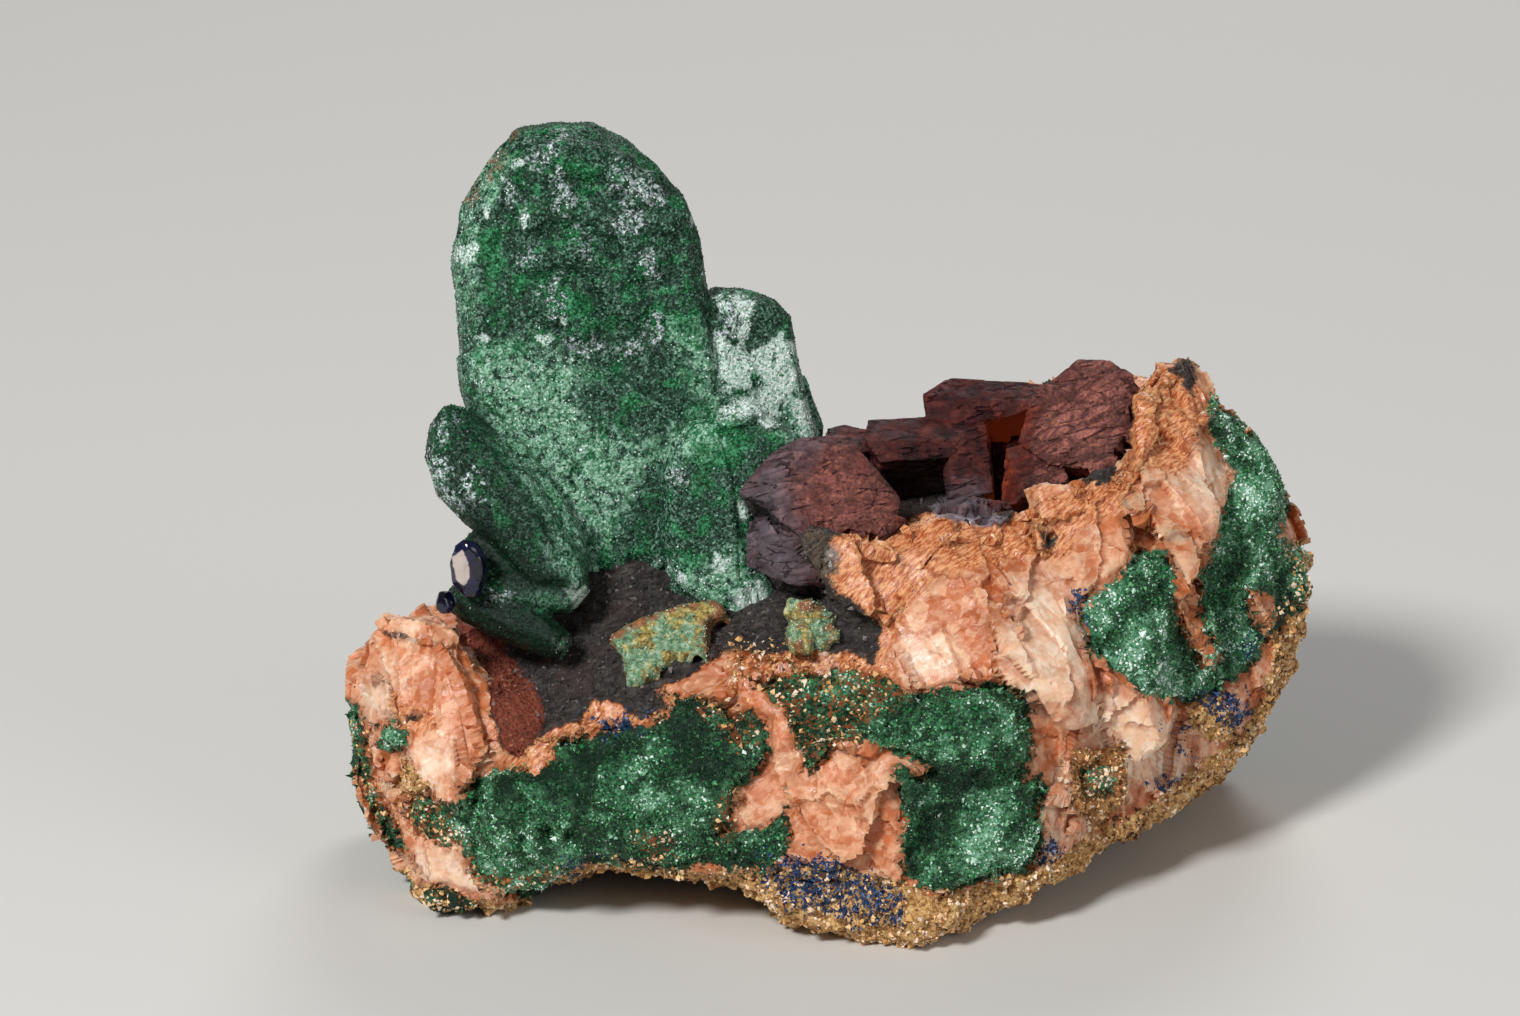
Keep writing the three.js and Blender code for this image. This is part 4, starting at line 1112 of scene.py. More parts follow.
def rhomb_material(paints):
    """Maroon-brown faces, grey-plum in parts, under brick-red dust, with fine parallel cracks, a painted
    red glow and painted shade.
    """
    # The emission is a painted glow, not a lamp
    material, g, shader = new_material(
        "Iron-stained rhombs", Specular_IOR_Level=0.22, Emission_Strength=0.1
    )
    plain = g.noise(1.1 * MM, 4, 0.65)
    base = g.ramp(
        plain, (0.32, (0.02, 0.004, 0.004)), (0.5, (0.06, 0.01, 0.009)), (0.68, (0.15, 0.03, 0.024))
    )
    plum = g.ramp(
        plain, (0.3, dimmed(paints.maroon, 0.6)), (0.52, paints.maroon), (0.75, dimmed(paints.maroon, 1.5))
    )
    base = g.mix(mask_of(g, "plum", 1.1, 1.8), base, plum)
    specks = g.noise(0.2 * MM, 4, 0.75)
    red = g.ramp(
        specks, (0.36, (0.21, 0.07, 0.062)), (0.5, (0.33, 0.12, 0.105)), (0.58, (0.45, 0.15, 0.1)),
        (0.68, (0.75, 0.3, 0.13)),
    )
    powder = g.math("MULTIPLY", mask_of(g, "dust", 1.6, 2.6), g.rise(specks, 0.3, 0.5, (0.45, 1)))
    powder = g.math("MULTIPLY", powder, g.rise(g.noise(1.3 * MM, 4, 0.7), 0.38, 0.56, (0.5, 1)))
    base = g.mix(g.math("MULTIPLY", powder, g.stored("powder")), base, red)
    # Painted glow: the red light through the rhombs, painted into the colour
    glowing = g.ramp(
        plain, (0.36, (0.01, 0.002, 0.002)), (0.5, (0.06, 0.01, 0.006)), (0.66, (0.3, 0.05, 0.02))
    )
    base = g.mix(g.math("MULTIPLY", mask_of(g, "glow", 0.6, 0.5), 0.9), base, glowing)
    bark = g.warped(g.stretched((0.17, 1, 1.3), (0, -CRACK_RISE, 0)), 1.5 * MM, 0.2 * MM)
    broken = g.rise(g.noise(1.3 * MM, 4, 0.65), 0.5, 0.58)
    cracks = g.rise(g.cells(0.75 * MM, "DISTANCE_TO_EDGE", point=bark), 0.08, 0.01)
    cracks = g.math("MULTIPLY", cracks, broken)
    carved = g.math("MULTIPLY", g.stored("crack"), 0.8)
    darkness = g.math("MAXIMUM", g.math("MULTIPLY", cracks, 0.75), carved)
    base = g.mix(darkness, base, (0.012, 0.005, 0.005))
    # Painted shade: near-black where the faces lie in shadow
    deep = g.rise(g.stored("deep"), -0.3 * MM, 0.6 * MM)
    base = g.mix(g.math("MULTIPLY", deep, 0.9), base, (0.004, 0.002, 0.002))
    g.feed(shader["Base Color"], base)
    g.feed(shader["Roughness"], g.rise(g.noise(0.5 * MM, 3), 0.35, 0.65, (0.45, 0.7)))
    # Painted glow given off as emission
    g.feed(shader["Emission Color"], g.mix(mask_of(g, "glow", 0.3, 0.6), (0, 0, 0), (0.5, 0.06, 0.015)))
    height = g.math("SUBTRACT", g.math("MULTIPLY", g.noise(0.2 * MM, 4, 0.7), 0.5), cracks)
    g.feed(shader["Normal"], g.bump(height, 0.2 * MM, 1.0))
    return material


def azurite_material(paints):
    """Glossy navy-black azurite with one pale patch, a painted reflection."""
    material, g, shader = new_material("Azurite crystal", IOR=1.6)
    zones = g.noise(0.8 * MM, 4, 0.6)
    base = g.ramp(zones, (0.45, paints.navy), (0.62, (0.005, 0.006, 0.04)), (0.8, (0.015, 0.03, 0.12)))
    # Painted reflection: one facet painted pale
    base = g.mix(mask_of(g, "painted_reflection", 0.08, 0.05), base, (0.5, 0.42, 0.38))
    g.feed(shader["Base Color"], base)
    g.feed(shader["Roughness"], g.rise(zones, 0.4, 0.7, (0.07, 0.2)))
    g.feed(shader["Normal"], g.bump(g.noise(0.45 * MM, 3), 0.05 * MM, 0.35))
    return material


def flake_material():
    """Yellow-green flake with olive patches and a rusty rim."""
    material, g, shader = new_material("Yellow-green flake", IOR=1.65)
    fine = g.noise(0.4 * MM, 5, 0.75)
    base = g.ramp(
        fine, (0.34, (0.03, 0.09, 0.04)), (0.46, (0.12, 0.27, 0.13)), (0.56, (0.3, 0.46, 0.29)),
        (0.68, (0.62, 0.74, 0.58)),
    )
    olive = g.ramp(fine, (0.38, (0.1, 0.045, 0.006)), (0.5, (0.4, 0.28, 0.04)), (0.62, (0.68, 0.6, 0.26)))
    olives = g.math("MAXIMUM", mask_of(g, "olive", 0.9, 0.3), g.rise(g.noise(0.9 * MM, 3), 0.55, 0.62))
    base = g.mix(olives, base, olive)
    rim = g.ramp(fine, (0.35, (0.12, 0.03, 0.01)), (0.7, (0.5, 0.2, 0.06)))
    base = g.mix(mask_of(g, "rim", 0.5, 0.2), base, rim)
    g.feed(shader["Base Color"], base)
    g.feed(shader["Roughness"], g.rise(fine, 0.3, 0.7, (0.38, 0.65)))
    g.feed(shader["Normal"], g.bump(g.noise(0.2 * MM, 4, 0.75), 0.2 * MM, 0.8))
    return material


def earthy_grain_material(name, tones, roughness):
    """Small grains, each coloured by the tone that it holds."""
    material, g, shader = new_material(name, Specular_IOR_Level=0.3, Roughness=roughness)
    g.feed(shader["Base Color"], g.ramp(g.stored("tone"), *tones))
    return material


# Operators
def paints():
    return bpy.context.scene.specimen_colours


def sizes():
    return bpy.context.scene.specimen_sizes


ROCK_KEPT = 0.42  # share of the rock's triangles left once its shape is made
PIECE_KEPT = 0.5  # the same for the other pieces
CLEAVAGE = unit(np.array(((0.86, -0.3, 0.4), (-0.2, -0.9, 0.38), (0.25, -0.3, 0.92))))
SPLINTERS = CLEAVAGE.T @ np.diag((1.0, 1.5, 0.6))  # makes cells longer along one cleavage
# Flat-faced cells of the calcite: size in mm, strength, lean to the cleavage, most move in mm, seed
CLEAVED_CELLS = ((6.5, 0.8, 0.3, 1.0, 3), (2.6, 0.75, 0.45, 0.5, 5), (1.2, 0.28, 0.55, 0.25, 6))
# Heights of the rock's fine forms
CRUST_KNOB = 0.24 * MM
CRUST_LUMP = 0.5 * MM
CRUST_GROOVE = 0.5 * MM
OCHRE_LUMP = 0.9 * MM
OCHRE_CRUMB = 0.6 * MM
LINING_LAYER = 0.12 * MM
LINING_LUMP = 0.5 * MM
VELVET_PORE = 0.3 * MM
VELVET_RISE = 0.1 * MM
RUST_LUMP = 0.2 * MM
RUST_CRUMB = 0.08 * MM
CALCITE_GRAIN = 0.06 * MM
ROOM_FOR_GRAINS = 0.1 * MM  # how far the rock is drawn in, so that its grains stay in the box
LAYER_PITCH = 0.24 * MM
LAYER_LEAN = np.array((0.12, 0.42, 0.9))  # the dark lining's layers lie across this
CRACK_RISE = math.radians(14)  # the rhombs' cracks rise this much to the right
BUILT = {}


class SPECIMEN_OT_rock(bpy.types.Operator):
    """Builds the lump of calcite rock with its crusts and its dark hollow"""

    bl_idname = "specimen.rock"
    bl_label = "Rock"

    def execute(self, context):
        piece, surface = remeshed("calcite_matrix", "rock", sizes().rock_mesh)
        surface.relax(0.5, 2)
        front = front_share(surface)
        regions = rock_regions(surface.points, front, surface.normals())
        crust = eased(np.maximum(regions["green"], regions["dark"]), -0.3 * MM, 0.5 * MM)
        surface.relax(0.6 * crust, 14)
        bare = 1 - eased(np.maximum(crust, eased(regions["ochre"], -0.3 * MM, 0.3 * MM)), 0.1, 0.9)
        for size, strength, lean, most, seed in CLEAVED_CELLS:
            surface.flatten_cells(size * MM, strength * bare, CLEAVAGE, lean, seed, most * MM, SPLINTERS)
        points = surface.points
        _, _, near, _ = grains(points, 1.0 * MM, 41)
        _, _, coarse, _ = grains(points, 2.6 * MM, 43)
        _, _, pores, _ = grains(points, 0.48 * MM, 45)
        knobs = (0.75 - near) * CRUST_KNOB + (0.7 - coarse) * CRUST_LUMP
        green = eased(regions["green"], -0.1 * MM, 0.5 * MM)
        ochre = eased(regions["ochre"], -0.1 * MM, 0.4 * MM)
        dark = eased(regions["dark"], 0, 0.6 * MM)
        rust = eased(regions["rust"], 0, 0.4 * MM)
        velvet = eased(regions["velvet"], -0.1 * MM, 0.3 * MM)
        groove = np.exp(-((regions["green"] / (0.3 * MM)) ** 2)) * front
        layers = points @ LAYER_LEAN / LAYER_PITCH + 9 * rough_noise(points, 4 * MM, 2, 47)
        rough = rough_noise(points, 1.5 * MM, 3, 53)
        surface.push(
            green * knobs
            - groove * (0.5 + rough_noise(points, 1.8 * MM, 2, 55)) * CRUST_GROOVE
            + ochre * (rough * OCHRE_LUMP + (0.6 - near) * OCHRE_CRUMB)
            + dark * (1 - velvet) * (np.sin(layers) * LINING_LAYER + rough * LINING_LUMP)
            + velvet * ((pores - 0.6) * VELVET_PORE + VELVET_RISE)
            + rust * (rough * RUST_LUMP + (0.6 - near) * RUST_CRUMB)
            + bare * rough * CALCITE_GRAIN
            - ROOM_FOR_GRAINS
        )
        x, y = in_picture(surface.points)
        for px, py, reach, depth in PITS:
            close = 1 - np.hypot(x - px, y - py) / reach
            surface.push(-depth * MM * front * eased(close, 0, 1))
        behind = eased(depth_inside(RIDGE_BEHIND, x, y), -0.2 * MM, 0.4 * MM)
        surface.points -= VIEW_UP * (RIDGE_DROP * behind)[:, None]
        surface.write()
        surface.note("front", front)
        surface = thinned(piece, ROCK_KEPT)
        front = read(piece.data.attributes["front"].data, "value", 1, np.float32)
        regions = rock_regions(surface.points, front, surface.normals())
        shade = crust_tone(surface.points, front)
        for name, depth in {**regions, "ridge": surface.ridges(), "shade": shade}.items():
            surface.note(name, depth)
        dress(piece, rock_material(paints()), ["calcite_matrix"])
        BUILT["rock"] = (surface, front, regions)
        BUILT["rock_tree"] = surface.tree()
        return {"FINISHED"}


class SPECIMEN_OT_crusts(bpy.types.Operator):
    """Grows malachite, ochre and azurite grains over the rock"""

    bl_idname = "specimen.crusts"
    bl_label = "Crusts"

    def execute(self, context):
        surface, front, regions = BUILT["rock"]
        ragged = 0.6 * MM * rough_noise(surface.points, 0.9 * MM, 2, 57)
        green = eased(regions["green"] + ragged, -0.1 * MM, 0.45 * MM)
        ochre = eased(regions["ochre"], -0.2 * MM, 0.2 * MM)
        mixed = eased(regions["mixed"], -0.3 * MM, 0.3 * MM)
        tone = crust_tone(surface.points, front)
        weights = green * (1 - 0.7 * ochre) * (1 - 0.4 * mixed)
        crust = druse(
            "rock_malachite_grains", surface, weights * front, sizes().crust_grains,
            sizes().crust_grain, 71, sway=0.55, tone=tone, spread=0.9,
        )
        # The whitest tones stand for glints on the grains: painted glints
        tones = (
            (0.05, (0.008, 0.03, 0.012)), (0.3, (0.035, 0.1, 0.045)), (0.5, (0.06, 0.2, 0.075)),
            (0.62, paints().emerald), (0.76, (0.17, 0.4, 0.2)), (0.92, paints().mint),
            (1.0, (0.8, 0.92, 0.84)),
        )
        material = malachite_grain_material("Malachite grains", tones, 0.22)
        dress(crust, material, crease=0)
        crust = druse(
            "rock_malachite_grains_behind", surface, weights * (1 - front), sizes().behind_grains,
            1.9 * sizes().crust_grain, 72, sway=0.55, tone=tone,
        )
        dress(crust, material, crease=0)
        blue = eased(regions["blue"] + 3 * ragged, 0.1 * MM, 0.5 * MM)
        tone = rough_noise(surface.points, 1.6 * MM, 2, 67) * 0.5 - 0.05
        rust = eased(regions["rust"], 0, 0.4 * MM) * eased(ragged, 0.1 * MM, 0.3 * MM)
        rust *= 1 - eased(regions["umber"], -0.5 * MM, 0)
        weights = np.maximum(np.maximum(ochre * (1 - 0.5 * blue), 0.5 * mixed), 0.15 * rust)
        earth = druse(
            "rock_ochre_grains", surface, weights * (0.25 + front), sizes().ochre_grains,
            sizes().ochre_grain, 73, sway=0.9, tone=tone, mixture=0.35, tall=(0.4, 1.0),
        )
        tones = (
            (0.0, (0.08, 0.035, 0.014)), (0.2, (0.38, 0.16, 0.05)), (0.45, paints().ochre),
            (0.7, (0.95, 0.6, 0.32)), (0.85, (0.85, 0.68, 0.5)), (1.0, (0.97, 0.78, 0.62)),
        )
        dress(earth, earthy_grain_material("Ochre grains", tones, 0.7), crease=0)
        azure = druse(
            "rock_azurite_grains", surface, blue * (0.25 + front), sizes().azurite_grains,
            sizes().crust_grain, 75, sway=0.9,
        )
        tones = (
            (0.0, (0.004, 0.006, 0.02)), (0.4, dimmed(paints().blue, 0.7)), (0.8, paints().blue),
            (1.0, (0.25, 0.33, 0.5)),
        )
        dress(azure, earthy_grain_material("Azurite grains", tones, 0.35), crease=0)
        velvet = eased(regions["velvet"], -0.1 * MM, 0.3 * MM)
        dark = eased(regions["dark"], 0.1 * MM, 0.5 * MM) * (1 - velvet)
        dust = druse(
            "rock_floor_grains", surface, np.maximum(dark, velvet) * front, sizes().floor_grains,
            0.9 * sizes().crust_grain, 79, sway=0.8, tone=0.55 * velvet, spread=0.45, mixture=0.45,
        )
        tones = (
            (0.0, (0.01, 0.009, 0.008)), (0.28, (0.055, 0.048, 0.045)), (0.44, (0.22, 0.19, 0.18)),
            (0.56, (0.07, 0.02, 0.013)), (0.8, (0.24, 0.075, 0.04)), (1.0, (0.42, 0.15, 0.08)),
        )
        dress(dust, earthy_grain_material("Dark and rusty grains", tones, 0.7), crease=0)
        return {"FINISHED"}


# Marks on the blades, as outlines in the picture
MINT_PATCHES = [
    [
        (462, 356), (500, 344), (560, 350), (586, 372), (570, 396), (600, 430), (650, 440), (700, 420),
        (716, 436), (690, 452), (640, 480), (620, 520), (590, 560), (560, 540), (520, 480), (490, 420),
    ],
    [(660, 566), (700, 575), (735, 545), (750, 560), (772, 590), (752, 612), (700, 606), (676, 590)],
    [(452, 206), (470, 176), (492, 146), (506, 160), (500, 190), (476, 210), (460, 240)],
    [(452, 236), (474, 236), (476, 262), (462, 330), (452, 300)],
    [(668, 330), (700, 330), (716, 350), (724, 410), (700, 400), (690, 366)],
    [(784, 350), (800, 352), (812, 400), (822, 436), (800, 446), (784, 420)],
    [(548, 524), (566, 534), (584, 556), (590, 590), (572, 590), (556, 560)],
    [(530, 590), (560, 590), (592, 596), (588, 608), (550, 604)],
]
EMERALD_PATCHES = [
    [(666, 316), (696, 312), (706, 330), (700, 352), (684, 352), (670, 336)],
    [(486, 176), (506, 168), (500, 190), (488, 200), (480, 192)],
    [(530, 276), (550, 270), (570, 290), (596, 300), (590, 324), (560, 320), (540, 300)],
    [(690, 400), (726, 420), (760, 430), (730, 470), (690, 460), (680, 430)],
    [(548, 150), (600, 168), (590, 184), (560, 170)],
]
# Faces of the fan that lie in shadow: painted shade, darkened nearly to black
PAINTED_SHADE_FACES = [
    [(466, 500), (500, 530), (540, 566), (574, 588), (560, 600), (520, 592), (486, 566), (470, 540)],
    [(452, 596), (500, 600), (560, 618), (580, 640), (568, 668), (520, 652), (460, 622)],
]
RUST_PATCHES = [
    [(462, 200), (470, 180), (480, 176), (478, 196), (470, 206)],
    [(486, 170), (494, 154), (506, 150), (500, 166), (490, 178)],
    [(504, 140), (510, 128), (522, 128), (514, 140)],
]
# Pale streaks: the blades' white-mint fibres, and on the blade behind at the right also a painted highlight
# of its glare
WHITE_STREAKS = [
    [(712, 300), (738, 294), (752, 300), (752, 330), (740, 344), (730, 330), (726, 312)],
    [(748, 356), (780, 336), (796, 346), (790, 372), (766, 384), (752, 372)],
    [(752, 390), (776, 372), (800, 372), (796, 392), (780, 404), (776, 424), (766, 434), (756, 410)],
    [(724, 404), (748, 392), (762, 402), (754, 412), (736, 412), (722, 420)],
    [(716, 330), (738, 350), (756, 356), (750, 384), (726, 392), (714, 360)],
    [(792, 396), (806, 404), (818, 440), (806, 446), (794, 420)],
    [(736, 498), (742, 496), (748, 512), (746, 524), (738, 510)],
    [(732, 596), (758, 582), (768, 590), (754, 606), (738, 606)],
    [(670, 562), (678, 568), (682, 582), (672, 578)],
    [(712, 552), (722, 556), (728, 572), (716, 568)],
    [(562, 588), (584, 586), (594, 596), (590, 608), (572, 604)],
    [(558, 644), (568, 638), (573, 648), (564, 658)],
]
# Marks on the blades as oval spots, each its middle and half sizes in the picture's pixels. The first are
# painted glints: highlights on the knobs, painted grey-white
PAINTED_GLINT_SPOTS = (
    (540, 156, 9, 9), (558, 138, 7, 6), (622, 178, 12, 9), (638, 190, 14, 11), (656, 196, 6, 9),
    (558, 180, 6, 9), (564, 200, 9, 12), (582, 238, 9, 7), (588, 252, 5, 9), (628, 224, 12, 11),
    (648, 262, 7, 14), (550, 290, 7, 12), (556, 310, 6, 13), (526, 258, 7, 6), (510, 190, 7, 13),
    (576, 340, 6, 5), (590, 346, 9, 7), (618, 350, 5, 6), (636, 346, 8, 6), (657, 330, 5, 13),
    (674, 476, 8, 6), (470, 488, 11, 14), (500, 596, 12, 7), (438, 470, 9, 22), (450, 500, 8, 12),
    (444, 430, 8, 10), (732, 320, 9, 20),
)
MINT_SPOTS = (
    (524, 219, 4, 9), (545, 338, 8, 4), (562, 322, 4, 5), (482, 338, 8, 4), (464, 252, 10, 8),
    (518, 162, 5, 4), (487, 212, 4, 6), (572, 360, 4, 3), (690, 222, 5, 4),
)
# Thin layers on the blades' front: an outline in the picture, and how far each stands out in mm
BLADE_LAYERS = (
    (
        [
            (440, 366), (468, 352), (500, 346), (520, 350), (538, 366), (560, 362), (590, 380), (604, 366),
            (640, 390), (690, 420), (716, 430), (730, 480), (740, 620), (560, 600), (470, 470),
        ],
        0.28,
    ),
    ([(676, 432), (720, 412), (760, 420), (800, 440), (820, 470), (760, 640), (640, 600), (660, 500)], 0.3),
    ([(440, 130), (500, 118), (512, 126), (498, 160), (486, 196), (462, 232), (440, 250)], -0.45),
    ([(664, 318), (700, 312), (712, 340), (716, 370), (704, 372), (690, 350), (668, 342)], 0.3),
    ([(716, 396), (736, 392), (758, 402), (762, 418), (730, 430), (712, 420)], 0.35),
    ([(728, 592), (748, 578), (770, 584), (772, 600), (748, 612), (730, 606)], 0.4),
    ([(736, 496), (746, 494), (756, 534), (744, 546), (738, 520)], 0.3),
)


def blade_regions(points):
    """How deep each point lies inside each mark of the blades, in metres."""
    x, y = in_picture(points)
    x = x + 6 * rough_noise(points, 1.6 * MM, 3, 81)
    y = y + 6 * rough_noise(points, 1.6 * MM, 3, 83)
    return {
        "mint": depth_in_any(MINT_PATCHES, x, y),
        "emerald": depth_in_any(EMERALD_PATCHES, x, y),
        "painted_shade": depth_in_any(PAINTED_SHADE_FACES, x, y),
        "rust": depth_in_any(RUST_PATCHES, x, y),
        "white": np.maximum(depth_in_any(WHITE_STREAKS, x, y), depth_in_spots(MINT_SPOTS, x, y)),
        "painted_glints": depth_in_spots(PAINTED_GLINT_SPOTS, x, y),
    }


def grow_blades(surface, knob, height, seed, high_share):
    """Knobs and grain of a blade. high_share says where the large knobs grow."""
    points = surface.points
    drawn = points @ np.diag((1, 1, 0.72))
    _, tall, near, _ = grains(drawn, knob, seed)
    _, _, small, _ = grains(drawn, knob * 0.45, seed + 2)
    rough = rough_noise(points, 2.4 * MM, 3, seed + 4)
    bumps = (0.7 - near) * (0.3 + 1.0 * tall) * height + (0.6 - small) * 0.5 * height
    facing = surface.spread(eased(surface.normals() @ VIEW_NEAR, 0.55, 0.85), 6)
    high_share = high_share * (0.25 + 0.75 * facing)
    surface.push(high_share * (bumps + rough * 0.3 * height) + rough * 0.12 * height - 0.08 * MM)


class SPECIMEN_OT_main_blades(bpy.types.Operator):
    """Builds the tall tongue-shaped blade and the blades grown into it"""

    bl_idname = "specimen.main_blades"
    bl_label = "Main blades"

    def execute(self, context):
        piece, surface = remeshed("malachite_main_blades", "main_blades", sizes().blade_mesh)
        surface.relax(0.5, 2)
        x, y = in_picture(surface.points)
        high = 1 - eased(y + 30 * rough_noise(surface.points, 6 * MM, 2, 87), 300, 380)
        grow_blades(surface, 1.35 * MM, 0.48 * MM, 91, 0.15 + 0.85 * high)
        front = front_share(surface, 4)
        for outline, rise in BLADE_LAYERS:
            depth = depth_inside(outline, x, y)
            surface.push(rise * MM * front * eased(depth, -0.1 * MM, 0.15 * MM))
        surface.sink_to(BUILT["rock_tree"], 0.55 * MM, 0.3 * MM)
        surface.write()
        surface = thinned(piece, PIECE_KEPT)
        front = front_share(surface, 4)
        x, y = in_picture(surface.points)
        high = 1 - eased(y, 300, 380)
        regions = blade_regions(surface.points)
        for name, depth in {**regions, "ridge": surface.ridges()}.items():
            surface.note(name, depth)
        dress(piece, blade_material(paints()), ["malachite_main_blades"])
        mint = eased(regions["mint"], -1 * MM, 1 * MM)
        # The grains are paler in the painted glints and in the pale streaks
        painted_glints_and_pale_streaks = eased(np.maximum(regions["painted_glints"], regions["white"]), -0.1 * MM, 0.15 * MM)
        tone = 0.35 * mint + 0.5 * painted_glints_and_pale_streaks + rough_noise(surface.points, 1.2 * MM, 3, 93) * 0.35
        tone -= 0.12 * high + 0.18
        front = 0.25 + front
        crust = druse(
            "main_blades_grains", surface, front, sizes().blade_grains, sizes().blade_grain, 97,
            sway=0.4, cluster=0.5 * MM, tone=tone, tall=(0.5, 1.1),
        )
        tones = (
            (0.0, dimmed(paints().deep_green, 0.7)), (0.3, (0.02, 0.06, 0.035)),
            (0.55, dimmed(paints().emerald, 0.7)), (0.8, (0.25, 0.5, 0.36)), (0.95, (0.85, 0.93, 0.9)),
        )
        dress(crust, malachite_grain_material("Blade grains", tones, 0.32), crease=0)
        return {"FINISHED"}


class SPECIMEN_OT_fan(bpy.types.Operator):
    """Builds the fan of small blades at the left"""

    bl_idname = "specimen.fan"
    bl_label = "Fan of blades"

    def execute(self, context):
        piece, surface = remeshed("malachite_fan_blades", "fan_blades", sizes().small_mesh)
        surface.relax(0.5, 1)
        x, y = in_picture(surface.points)
        tip = 1 - eased(x + y, 900, 980)
        grow_blades(surface, 0.75 * MM, 0.26 * MM, 101, 0.4 + 0.6 * tip)
        surface.sink_to(BUILT["rock_tree"], 0.55 * MM, 0.3 * MM)
        surface.write()
        regions = blade_regions(surface.points)
        for name, depth in {**regions, "ridge": surface.ridges()}.items():
            surface.note(name, depth)
        pale_ends = eased(regions["mint"], -0.5 * MM, 0.6 * MM)
        # Painted shade: the fan is darkened all over but for its pale ends
        surface.note("painted_fan_shade", 0.5 * (1 - pale_ends))
        dress(piece, blade_material(paints()), ["malachite_fan_blades"])
        # The grains are paler in the painted glints and in the pale streaks
        painted_glints_and_pale_streaks = eased(np.maximum(regions["painted_glints"], regions["white"]), -0.1 * MM, 0.15 * MM)
        tone = 0.45 * pale_ends + 0.55 * painted_glints_and_pale_streaks - 0.4 + 0.25 * tip
        # The fan's grains are darker in the painted shade
        tone -= 0.12 * eased(regions["painted_shade"], -0.3 * MM, 0.3 * MM)
        crust = druse(
            "fan_blades_grains", surface, 0.4 + front_share(surface, 4), sizes().fan_grains,
            0.9 * sizes().blade_grain, 103, sway=0.35, cluster=0.5 * MM, tone=tone, tall=(0.5, 1.1),
        )
        tones = (
            (0.0, dimmed(paints().deep_green, 0.45)), (0.4, dimmed(paints().green, 0.4)),
            (0.75, dimmed(paints().emerald, 0.8)), (1.0, (0.5, 0.72, 0.58)),
        )
        dress(crust, malachite_grain_material("Fan grains", tones, 0.26), crease=0)
        return {"FINISHED"}


# The tip's facet that reflects the light, painted pale: a painted reflection
PAINTED_REFLECTION_FACET = [(452, 557), (462, 551), (468, 562), (470, 578), (464, 586), (456, 580)]


class SPECIMEN_OT_azurite(bpy.types.Operator):
    """Builds the two glossy azurite crystals on the fan"""

    bl_idname = "specimen.azurite"
    bl_label = "Azurite crystals"

    def execute(self, context):
        material = azurite_material(paints())
        for node in ("azurite_tip", "azurite_bud"):
            piece, surface = remeshed(node, node + "_crystal", 0.09 * MM)
            surface.relax(0.5, 3)
            surface.flatten_cells(0.9 * MM, np.full(len(surface.points), 0.5), CLEAVAGE, 0.1, 107, 0.1 * MM)
            surface.relax(0.5, 1)
            surface.write()
            surface.note("painted_reflection", depth_inside(PAINTED_REFLECTION_FACET, *in_picture(surface.points)))
            dress(piece, material, [node], crease=28)
        return {"FINISHED"}


# For each group: its node, how many degrees its cracks rise to the right, their spacing in mm,
# how far the bits between them stand out in mm, and how much red dust lies on it
RHOMB_GRAIN = (
    ("rhombs_front", 14, 0.7, 0.06, 0.8),
    ("rhombs_back", 4, 0.7, 0.06, 0.4),
    ("rhombs_side", 26, 0.8, 0.09, 1.0),
)
# The bits' lengths along the cracks, across them and inwards, and how strongly they show
BRICKS = (((2.6, 0.8, 1.5), 1.0), ((6.5, 2.2, 3.0), 0.9))
# Parts of the rhombs' faces, as outlines in the picture
RED_DUST = [
    [
        (806, 462), (830, 446), (853, 449), (879, 476), (896, 493), (916, 519), (909, 540), (880, 556),
        (850, 560), (826, 548), (800, 520), (796, 490),
    ],
    [
        (1012, 440), (1038, 388), (1065, 378), (1076, 360), (1111, 356), (1136, 373), (1136, 416),
        (1121, 453), (1096, 490), (1050, 500), (1034, 480), (1052, 460),
    ],
]
PLUM_FACES = [
    [
        (738, 493), (748, 478), (776, 449), (800, 434), (822, 436), (800, 462), (790, 500), (800, 530),
        (815, 552), (812, 576), (790, 590), (745, 580), (738, 540),
    ],
    [(928, 508), (946, 499), (972, 496), (985, 502), (1007, 519), (999, 528), (965, 520)],
]
DEEP_SHADE = [
    [(876, 470), (905, 455), (945, 450), (948, 500), (930, 508), (900, 502), (884, 488)],
    [(880, 530), (906, 528), (914, 545), (894, 556), (880, 548)],
    [(742, 494), (775, 500), (776, 520), (752, 520)],
]


